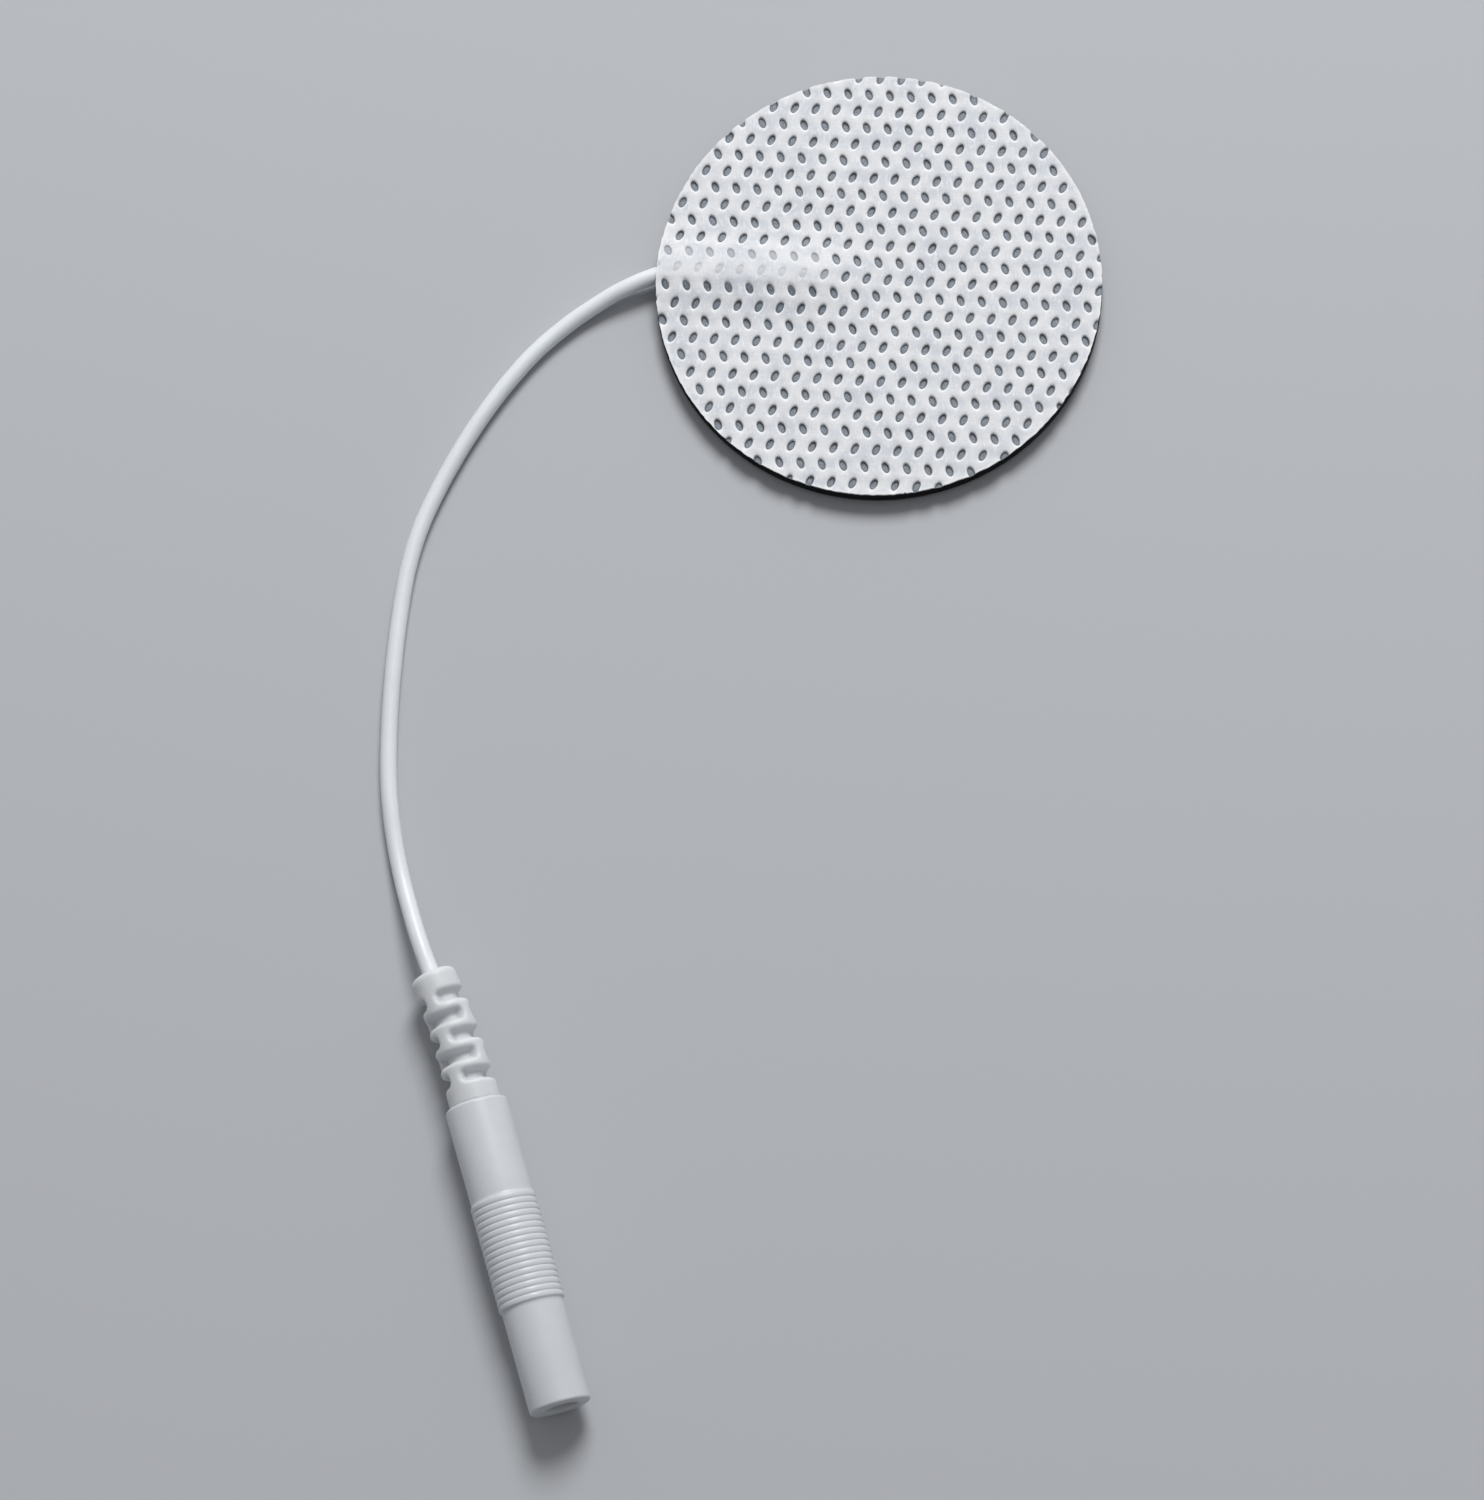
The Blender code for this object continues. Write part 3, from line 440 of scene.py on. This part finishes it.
sleeve = add_piece("grip_sleeve", sleeve_mesh, sleeve_plastic, 50)
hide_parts("connector_sleeve")


# The contact and the core crimped into it: a turned and nickel-plated brass socket, slit so that
# it springs onto the pin, and bare tinned copper. Both are as packed and get their metal here.

NICKEL = (0.60, 0.585, 0.55)
TINNED_COPPER = (0.66, 0.52, 0.43)


def metal_finish(name, colour, roughness, streak):
    """Bare metal with fine turning or drawing marks and slightly uneven gloss."""
    material, shader = new_finish(name, roughness)
    shader.inputs["Metallic"].default_value = 1.0
    marks = grain(material, 0.2 * MM, 3.0, stretch=(1, 1, streak))
    marked = mixed(material, rescaled(material, marks, 0.35, 0.65), tinted(colour, 0.85), colour)
    material.node_tree.links.new(marked, shader.inputs["Base Color"])
    uneven = rescaled(material, grain(material, 0.9 * MM), 0.3, 0.7, roughness - 0.05, roughness + 0.1)
    material.node_tree.links.new(uneven, shader.inputs["Roughness"])
    relief(material, shader, marks, 0.004 * MM, 0.4)
    return material


def finish_node(node, material):
    """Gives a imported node, which stays as it is, its metal or film."""
    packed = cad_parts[node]
    packed.data.materials.clear()
    packed.data.materials.append(material)


finish_node("socket_contact", metal_finish("nickel plate", NICKEL, 0.28, 6))
tinned = metal_finish("tinned copper", TINNED_COPPER, 0.34, 3)
finish_node("crimped_core", tinned)
finish_node("conductor_fan", tinned)


# The gel: a disc of sticky conductive hydrogel, cast on a thin net and cut with the pad. It looks
# black under the black film. Its cut edge swells a little and is dull, and its skin face is wet.

PAD_RADIUS = 16.0 * MM
GEL_BLACK = (0.008, 0.0085, 0.010)
GEL_EDGE_ROUNDING = 0.16 * MM
GEL_BULGE = 0.11 * MM
GEL_LAYERS = 5
WET_BELOW = 0.01 * MM
DRY_ABOVE = 0.06 * MM


def merged_copy(node):
    """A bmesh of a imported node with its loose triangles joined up."""
    copy = bmesh.new()
    copy.from_mesh(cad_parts[node].data)
    bmesh.ops.remove_doubles(copy, verts=copy.verts, dist=MERGE_DISTANCE)
    return copy


def rim_edges(disc, height):
    """The edges of a disc's cut rim that lie at that height."""
    return [
        edge
        for edge in disc.edges
        if all(abs(v.co.z - height) < 1e-6 and v.co.xy.length > PAD_RADIUS - 1e-5 for v in edge.verts)
    ]


gel, gel_shader = new_finish("conductive gel", 0.45)
gel_shader.inputs["Specular IOR Level"].default_value = 0.05
gel_shader.inputs["Coat Roughness"].default_value = 0.1
gel_cloud = rescaled(gel, grain(gel, 1.5 * MM), 0.35, 0.65)
gel_colour = mixed(gel, gel_cloud, GEL_BLACK, tinted(GEL_BLACK, 1.5))
gel.node_tree.links.new(gel_colour, gel_shader.inputs["Base Color"])
gel_swell = relief(gel, gel_shader, grain(gel, 0.9 * MM, 2.0), 0.05 * MM, 0.35)
gel_net = rescaled(gel, grain(gel, 0.35 * MM, 1.0), 0.45, 0.55)
relief(gel, gel_shader, gel_net, 0.01 * MM, 0.25, gel_swell)
gel_place = gel.node_tree.nodes.new("ShaderNodeTexCoord")
gel_axes = gel.node_tree.nodes.new("ShaderNodeSeparateXYZ")
gel.node_tree.links.new(gel_place.outputs["Object"], gel_axes.inputs["Vector"])
wet_face = rescaled(gel, gel_axes.outputs["Z"], WET_BELOW, DRY_ABOVE, 0.9, 0.0)
gel.node_tree.links.new(wet_face, gel_shader.inputs["Coat Weight"])
gel_form = merged_copy("hydrogel")
gel_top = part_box("hydrogel")[1].z
for k in range(1, GEL_LAYERS):
    bmesh.ops.bisect_plane(
        gel_form,
        geom=gel_form.verts[:] + gel_form.edges[:] + gel_form.faces[:],
        dist=MERGE_DISTANCE,
        plane_co=(0, 0, gel_top * k / GEL_LAYERS),
        plane_no=(0, 0, 1),
    )
bmesh.ops.bevel(
    gel_form,
    geom=rim_edges(gel_form, gel_top),
    offset=GEL_EDGE_ROUNDING,
    offset_type="OFFSET",
    segments=3,
    profile=0.5,
    affect="EDGES",
    material=-1,
    clamp_overlap=True,
)
for vert in gel_form.verts:
    if vert.co.xy.length > PAD_RADIUS - 2 * GEL_EDGE_ROUNDING:
        vert.co.xy *= 1 + GEL_BULGE / PAD_RADIUS * math.sin(math.pi * held(vert.co.z / gel_top))
gel_mesh = bpy.data.meshes.new("gel_disc")
gel_form.to_mesh(gel_mesh)
gel_form.free()
gel_disc = add_piece("gel_disc", gel_mesh, gel, 35)
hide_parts("hydrogel")


# The film: carbon-filled plastic, 0.15 mm thick, that spreads the current over the gel. Only its
# black edge shows, and its face through the bond points of the fabric.

CARBON_BLACK = (0.009, 0.0095, 0.011)

film, film_shader = new_finish("carbon film", 0.42)
film_shader.inputs["Specular IOR Level"].default_value = 0.3
film_cloud = rescaled(film, grain(film, 0.6 * MM), 0.35, 0.65)
film_colour = mixed(film, film_cloud, CARBON_BLACK, tinted(CARBON_BLACK, 1.8))
film.node_tree.links.new(film_colour, film_shader.inputs["Base Color"])
film_gloss = rescaled(film, grain(film, 1.1 * MM), 0.3, 0.7, 0.36, 0.52)
film.node_tree.links.new(film_gloss, film_shader.inputs["Roughness"])
relief(film, film_shader, grain(film, 0.08 * MM), 0.006 * MM, 0.5)
finish_node("conductive_film", film)


# The backing: a soft white spun-bonded fabric, 0.35 mm thick, die-cut with the pad. Hot rolls have
# pressed it in rows of slanting ovals to a thin clear skin, which shows the black film below.

UNDERSIDE = 1.16 * MM
FABRIC_THICKNESS = 0.35 * MM
BOND_PITCH = 1.524 * MM
BOND_ROW_SPACING = 1.297 * MM
BOND_LENGTH = 0.90 * MM
BOND_WIDTH = 0.52 * MM
BOND_LEAN = math.radians(25)
BOND_START_X = 0.63 * MM
BOND_START_Y = 0.32 * MM
BOND_RINGS = (1.60, 1.34, 1.12, 0.98, 0.86, 0.66, 0.36)
FURTHEST_ROW = 14
FURTHEST_COLUMN = 13
CELL_CUTS = 2
CELL_WELD = 0.05 * MM
RING_SLACK = 0.05
RIM_CUTS = 120
CUT_WANDER = 0.05 * MM
CUT_WANDER_LENGTH = 0.4 * MM
CUT_SPREAD = 0.06 * MM
LEAD_LINE_Y = 0.15 * MM
LEAD_END_X = -5.2 * MM
EXIT_SWAY = 0.30 * MM
EXIT_BEND_LENGTH = 1.5 * MM
RIDGE_HEIGHT = 0.77 * MM
RIDGE_HALF_WIDTH = 2.60 * MM
RIDGE_RUN_OUT = 2.8 * MM
CREST_HEIGHT = 0.44 * MM
CREST_STEP = 0.05 * MM
NEAR_HALF_WIDTH = 4.0 * MM
FAR_HALF_WIDTH = 3.8 * MM
CREST_RUN_OUT = 5.5 * MM
LEAST_THICKNESS = 0.04 * MM
SHOULDER_DEPTH = 0.065 * MM
WALL_DEPTH = 0.19 * MM
SHOULDER_FADE = (1.0, 0.58)
WALL_FADE = (0.84, 0.22)
SKIN_FADE = (0.86, 0.16)
# The dark ring at each bond point's wall is partly the black film seen through the thinnest skin and
# partly painted shade, shifted towards the end where the far wall casts its shadow.
DARK_AND_SHADE_RING_FADE = (0.60, 0.20)
SHADE_SHIFT = 0.18
SHADED_END_SWING = 2.4
FAINTEST_RING = 0.70
CHANCE_SCATTER = 4321
LIP_REACH = 1.22
LIP_HALF_WIDTH = 0.34
CREASE_FADE = (-0.85 * MM, 0.4 * MM)
NEAR_LIFT_FADE = (-0.95 * MM, 0.7 * MM)
FAR_LIFT_AND_LIGHT_FADE = (0.8 * MM, 1.7 * MM)
LIFT_END_FADE = (LEAD_END_X, 2.4 * MM)
LIFT_SHALLOWS = 0.80
LIFT_AND_LIGHT_PALES = 0.76
LIFT_THINS_RING = 0.50
FABRIC_WHITE = (0.80, 0.81, 0.83)
FABRIC_SHADE = (0.67, 0.695, 0.745)
FABRIC_PALE_AND_HIGHLIGHT = (0.88, 0.89, 0.905)
BOND_GREY = (0.185, 0.216, 0.256)
BOND_DARK_AND_SHADE = (0.020, 0.022, 0.027)


def faded_in(value, start, length):
    """From 0 up to the start of a fade to 1 past its length, smoothly."""
    share = held((value - start) / length)
    return share * share * (3 - 2 * share)


def hill(distance, half_width):
    """From 1 in the middle of a hill to 0 at its foot, smoothly."""
    return 0.5 + 0.5 * math.cos(math.pi * min(abs(distance) / half_width, 1.0))


def over_lead(x):
    """The y of the lead's centre line under the fabric."""
    turned = held((-PAD_RADIUS + EXIT_BEND_LENGTH - x) / EXIT_BEND_LENGTH)
    return LEAD_LINE_Y - EXIT_SWAY * turned**2


def fabric_rise(x, y):
    """How far the lead lifts the fabric's underside."""
    past_end = hill(max(x - LEAD_END_X, 0.0), RIDGE_RUN_OUT)
    return RIDGE_HEIGHT * hill(y - over_lead(x), RIDGE_HALF_WIDTH) * past_end


def crest_rise(x, y):
    """How far the fabric's upper side stands up there: it is stretched thin over the lead."""
    off = y - over_lead(x)
    past_end = hill(max(x - LEAD_END_X, 0.0), CREST_RUN_OUT)
    height = CREST_HEIGHT + CREST_STEP * faded_in(off, *CREASE_FADE)
    return height * hill(off, FAR_HALF_WIDTH if off > 0 else NEAR_HALF_WIDTH) * past_end


def bond_at(row, column):
    """(centre x, centre y, lean) of one bond point, as in the part's source."""
    odd = row % 2
    x = BOND_START_X + (column + odd / 2) * BOND_PITCH
    y = BOND_START_Y + row * BOND_ROW_SPACING
    return x, y, BOND_LEAN if odd else -BOND_LEAN


def nearest_bond(x, y):
    """(centre x, centre y, lean) of the bond point in whose row and column a place lies."""
    row = round((y - BOND_START_Y) / BOND_ROW_SPACING)
    return bond_at(row, round((x - BOND_START_X) / BOND_PITCH - row % 2 / 2))


def bond_reach(dx, dy, lean):
    """How far out a point lies from a bond point's middle: 1 on its oval outline."""
    along = -dx * math.sin(lean) + dy * math.cos(lean)
    across = dx * math.cos(lean) + dy * math.sin(lean)
    return math.hypot(2 * along / BOND_LENGTH, 2 * across / BOND_WIDTH)


def bond_depth(reach):
    """How deep the fabric is pressed at that reach: a soft shoulder, a steep wall, a flat floor."""
    shoulder = SHOULDER_DEPTH * (1 - faded_in(reach, *SHOULDER_FADE))
    wall = WALL_DEPTH * (1 - faded_in(reach, *WALL_FADE))
    return shoulder + wall


def lifted_and_lit(x, y):
    """How far the fabric stands off the black film beside the lead, from 0 to 1; on the far flank, which
    faces the lamp, it reaches further, which paints light on the bond points there.
    """
    off = y - over_lead(x)
    near_side = faded_in(off, *NEAR_LIFT_FADE)
    far_side = 1 - faded_in(off, *FAR_LIFT_AND_LIGHT_FADE)
    return near_side * far_side * (1 - faded_in(x, *LIFT_END_FADE))


def plain_below(x, y):
    """Whether the cell there is a whole one and its underside lies flat on the film."""
    x, y, _ = nearest_bond(x, y)
    beside = abs(y - LEAD_LINE_Y) > RIDGE_HALF_WIDTH + BOND_PITCH
    beyond = x > LEAD_END_X + RIDGE_RUN_OUT + BOND_PITCH
    return (beside or beyond) and math.hypot(x, y) < PAD_RADIUS - BOND_PITCH


fabric_form = bmesh.new()
reach_of = fabric_form.verts.layers.float.new("reach")
toward_shade_of = fabric_form.verts.layers.float.new("toward_shade")
chance_of = fabric_form.verts.layers.float.new("chance")
lift_and_light_of = fabric_form.verts.layers.float.new("lift_and_light")
bond_of = fabric_form.verts.layers.float.new("bond")
dark_and_shade_of = fabric_form.verts.layers.float.new("dark")
rim_and_highlight_of = fabric_form.verts.layers.float.new("rim")

# One six-sided cell stands round each bond point. Each inset gives it a ring of faces, whose
# points are then moved to an oval of that reach.
hexagon = Matrix.Diagonal((BOND_PITCH / math.sqrt(3), BOND_ROW_SPACING / 1.5, 1, 1))
for row in range(-FURTHEST_ROW, FURTHEST_ROW + 1):
    for column in range(-FURTHEST_COLUMN, FURTHEST_COLUMN + 1):
        x, y, _ = bond_at(row, column)
        if math.hypot(x, y) < PAD_RADIUS + BOND_PITCH / 2:
            bmesh.ops.create_circle(
                fabric_form,
                cap_ends=True,
                segments=6,
                radius=1,
                matrix=Matrix.Translation((x, y, 0)) @ hexagon,
            )
bmesh.ops.remove_doubles(fabric_form, verts=fabric_form.verts, dist=CELL_WELD)
bmesh.ops.bisect_edges(fabric_form, edges=fabric_form.edges, cuts=CELL_CUTS)
cells = [(face, nearest_bond(*face.calc_center_median().xy)) for face in fabric_form.faces]
for ring in BOND_RINGS:
    bmesh.ops.inset_individual(fabric_form, faces=[face for face, _ in cells], thickness=0.01 * MM)
    for face, (x, y, lean) in cells:
        for vert in face.verts:
            dx = vert.co.x - x
            dy = vert.co.y - y
            share = ring / bond_reach(dx, dy, lean)
            vert.co.x = x + dx * share
            vert.co.y = y + dy * share
bmesh.ops.poke(fabric_form, faces=[face for face, _ in cells])
for vert in fabric_form.verts:
    x, y, lean = nearest_bond(vert.co.x, vert.co.y)
    off = Vector((vert.co.x - x, vert.co.y - y))
    chance = noise.cell(Vector((x, y, 0.5)) * CHANCE_SCATTER)
    # The painted shade falls towards one end of each bond point, turned a little at random from pit to
    # pit.
    swing = SHADED_END_SWING * (chance - 0.5)
    shadowed_end = Vector((math.sin(swing), math.cos(swing)))
    vert[reach_of] = bond_reach(off.x, off.y, lean)
    vert[toward_shade_of] = off.normalized().dot(shadowed_end)
    vert[chance_of] = chance
    vert[lift_and_light_of] = lifted_and_lit(x, y)
for k in range(RIM_CUTS):
    turn = 2 * math.pi * k / RIM_CUTS
    outwards = Vector((math.cos(turn), math.sin(turn), 0))
    bmesh.ops.bisect_plane(
        fabric_form,
        geom=fabric_form.verts[:] + fabric_form.edges[:] + fabric_form.faces[:],
        dist=MERGE_DISTANCE,
        plane_co=outwards * PAD_RADIUS,
        plane_no=outwards,
        clear_outer=True,
    )
for vert in fabric_form.verts:
    if vert.co.xy.length > PAD_RADIUS - 1e-6:
        vert.co.xy *= 1 + CUT_WANDER / PAD_RADIUS * noise.noise(vert.co / CUT_WANDER_LENGTH)

# The disc is doubled to an underside on the film and the lead and an upper side that is pressed in
# at the bond points. What the finish needs to know of each place is kept as attributes.
for face in fabric_form.faces:
    if face.normal.z < 0:
        face.normal_flip()
raised = bmesh.ops.extrude_face_region(fabric_form, geom=fabric_form.faces[:], use_keep_orig=True)
upper = {item for item in raised["geom"] if isinstance(item, bmesh.types.BMVert)}
for vert in fabric_form.verts:
    x, y = vert.co.xy
    height = UNDERSIDE + fabric_rise(x, y)
    if vert in upper:
        reach = vert[reach_of]
        lift_and_light = vert[lift_and_light_of]
        toward_shade = vert[toward_shade_of]
        depth = bond_depth(reach) * (1 - LIFT_SHALLOWS * lift_and_light)
        surface = UNDERSIDE + FABRIC_THICKNESS + crest_rise(x, y) - depth
        height = max(surface, height + LEAST_THICKNESS)
        # Beside the lead the skin is paler where the fabric stands off the film, and painted paler still
        # on the far flank, which faces the lamp.
        vert[bond_of] = (1 - faded_in(reach, *SKIN_FADE)) * (1 - LIFT_AND_LIGHT_PALES * lift_and_light)
        # Painted shade: the dark ring is shifted towards the far end, where the wall casts its shadow;
        # the rest of it is the black film through the thinnest skin.
        ring = faded_in(reach + SHADE_SHIFT * toward_shade, *DARK_AND_SHADE_RING_FADE)
        ring *= FAINTEST_RING + (1 - FAINTEST_RING) * vert[chance_of]
        vert[dark_and_shade_of] = ring * (1 - LIFT_THINS_RING * lift_and_light)
        # A pale band round each bond point: paler pressed fibres all round, plus a painted highlight on
        # the side away from the painted shade, whose wall faces the lamp.
        lip_and_highlight = hill(reach - LIP_REACH, LIP_HALF_WIDTH) * (0.75 - 0.25 * toward_shade)
        vert[rim_and_highlight_of] = lip_and_highlight * (1 - lift_and_light)
        # Along the cut edge the fabric is painted fully pale: a painted highlight on an edge that turns
        # away from the lamp.
        if math.hypot(x, y) > PAD_RADIUS - 2 * CUT_WANDER:
            vert[rim_and_highlight_of] = 1.0
            vert.co.xy *= 1 + CUT_SPREAD / PAD_RADIUS
    vert.co.z = height
bmesh.ops.recalc_face_normals(fabric_form, faces=fabric_form.faces)

# Where the underside lies flat, each whole cell is made one face again.
unseen_edges = []
for edge in fabric_form.edges:
    inner = min(edge.verts, key=lambda vert: vert[reach_of])
    inside_cell = inner[reach_of] < BOND_RINGS[0] + RING_SLACK
    if upper.isdisjoint(edge.verts) and inside_cell and plain_below(*inner.co.xy):
        unseen_edges.append(edge)
bmesh.ops.dissolve_edges(fabric_form, edges=unseen_edges, use_verts=True)
fabric_mesh = bpy.data.meshes.new("fabric_disc")
fabric_form.to_mesh(fabric_mesh)
fabric_form.free()

cloth, cloth_shader = new_finish("non-woven fabric", 0.86)
cloth_shader.inputs["Sheen Weight"].default_value = 0.12
cloth_shader.inputs["Sheen Roughness"].default_value = 0.5
cloth_cloud = rescaled(cloth, grain(cloth, 1.5 * MM, 3.0, stretch=(0.6, 1, 1)), 0.34, 0.60)
cloth_fibres = grain(cloth, 0.16 * MM, 4.0, stretch=(1, 0.35, 1), turn=0.5)
crossing_fibres = grain(cloth, 0.16 * MM, 4.0, stretch=(0.35, 1, 1), turn=-0.4)
cloth_body = mixed(cloth, cloth_cloud, FABRIC_SHADE, FABRIC_WHITE)
cloth_lit = mixed(cloth, rescaled(cloth, cloth_fibres, 0.50, 0.72, 0, 0.8), cloth_body, FABRIC_PALE_AND_HIGHLIGHT)
cloth_dim = mixed(cloth, rescaled(cloth, crossing_fibres, 0.55, 0.75, 0, 0.7), cloth_lit, FABRIC_SHADE)


def painted(name):
    """The value of one of the fabric's own attributes."""
    source = cloth.node_tree.nodes.new("ShaderNodeAttribute")
    source.attribute_name = name
    return source.outputs["Fac"]


bond_share = painted("bond")
skin_cloud = rescaled(cloth, grain(cloth, 0.14 * MM), 0.32, 0.68)
skin_grey = mixed(cloth, skin_cloud, tinted(BOND_GREY, 0.72), tinted(BOND_GREY, 1.2))
# The skin darkens to near black in the ring, which is partly painted shade.
skin_colour = mixed(cloth, painted("dark"), skin_grey, BOND_DARK_AND_SHADE)
# The pale band and the pale cut edge are mixed in here, with their painted highlight.
cloth_rim_and_highlight = mixed(cloth, painted("rim"), cloth_dim, FABRIC_PALE_AND_HIGHLIGHT)
cloth_colour = mixed(cloth, bond_share, cloth_rim_and_highlight, skin_colour)
cloth.node_tree.links.new(cloth_colour, cloth_shader.inputs["Base Color"])
bond_gloss = rescaled(cloth, bond_share, 0.5, 1.0, 0.86, 0.50)
cloth.node_tree.links.new(bond_gloss, cloth_shader.inputs["Roughness"])
along_fibres = relief(cloth, cloth_shader, cloth_fibres, 0.03 * MM, 0.5)
relief(cloth, cloth_shader, crossing_fibres, 0.03 * MM, 0.5, along_fibres)
fabric = add_piece("fabric_disc", fabric_mesh, cloth, 60)
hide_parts("backing_fabric")


# The studio: a plain pale floor, one large soft lamp beyond the pad and a weak even light from
# all round, so that the bond points and the ridge over the lead are shaded on their near side.

FLOOR_GREY = (0.50, 0.515, 0.54)
SURROUND = (0.86, 0.87, 0.89)
SURROUND_LIGHT = 0.42
NEAR_LIGHT = 0.14
LIGHT_GROWS_FROM = -0.8
LIGHT_GROWS_TO = 0.3
FLOOR_HALF_WIDTH = 3.0
LAMP_PLACE = (0.03, 0.42, 0.50)
LAMP_WIDTH = 0.30
LAMP_POWER = 3.70

floor_form = bmesh.new()
bmesh.ops.create_grid(floor_form, x_segments=1, y_segments=1, size=FLOOR_HALF_WIDTH)
floor_mesh = bpy.data.meshes.new("floor")
floor_form.to_mesh(floor_mesh)
floor_form.free()
floor_finish, floor_shader = new_finish("floor card", 0.9)
floor_shader.inputs["Base Color"].default_value = (*FLOOR_GREY, 1)
floor_mesh.materials.append(floor_finish)
floor = bpy.data.objects.new("floor", floor_mesh)
bpy.context.scene.collection.objects.link(floor)

lamp_data = bpy.data.lights.new("soft lamp", "AREA")
lamp_data.shape = "DISK"
lamp_data.size = LAMP_WIDTH
lamp_data.energy = LAMP_POWER
lamp = bpy.data.objects.new("soft lamp", lamp_data)
lamp.location = LAMP_PLACE
lamp.rotation_euler = (LOOKING_AT - lamp.location).to_track_quat("-Z", "Y").to_euler()
bpy.context.scene.collection.objects.link(lamp)

world = bpy.data.worlds.new("studio")
bpy.context.scene.world = world
world.use_nodes = True
world_nodes = world.node_tree.nodes
world_links = world.node_tree.links
room_light = world_nodes["Background"]
room_light.inputs["Color"].default_value = (*SURROUND, 1)
direction = world_nodes.new("ShaderNodeTexCoord")
direction_axes = world_nodes.new("ShaderNodeSeparateXYZ")
near_to_far = world_nodes.new("ShaderNodeMapRange")
near_to_far.inputs["From Min"].default_value = LIGHT_GROWS_FROM
near_to_far.inputs["From Max"].default_value = LIGHT_GROWS_TO
near_to_far.inputs["To Min"].default_value = NEAR_LIGHT
near_to_far.inputs["To Max"].default_value = SURROUND_LIGHT
world_links.new(direction.outputs["Generated"], direction_axes.inputs["Vector"])
world_links.new(direction_axes.outputs["Y"], near_to_far.inputs["Value"])
world_links.new(near_to_far.outputs["Result"], room_light.inputs["Strength"])
seen_wall = world_nodes.new("ShaderNodeBackground")
seen_wall.inputs["Color"].default_value = (*SURROUND, 1)
seen_wall.inputs["Strength"].default_value = 0.9
rays = world_nodes.new("ShaderNodeLightPath")
sees_wall = rays.outputs["Is Camera Ray"]
for kind in ("Is Glossy Ray", "Is Transmission Ray"):
    either = world_nodes.new("ShaderNodeMath")
    either.operation = "MAXIMUM"
    world_links.new(sees_wall, either.inputs[0])
    world_links.new(rays.outputs[kind], either.inputs[1])
    sees_wall = either.outputs["Value"]
wall_or_light = world_nodes.new("ShaderNodeMixShader")
world_links.new(sees_wall, wall_or_light.inputs["Fac"])
world_links.new(room_light.outputs["Background"], wall_or_light.inputs[1])
world_links.new(seen_wall.outputs["Background"], wall_or_light.inputs[2])
world_links.new(wall_or_light.outputs["Shader"], world_nodes["World Output"].inputs["Surface"])

bpy.context.scene.view_settings.view_transform = "Standard"
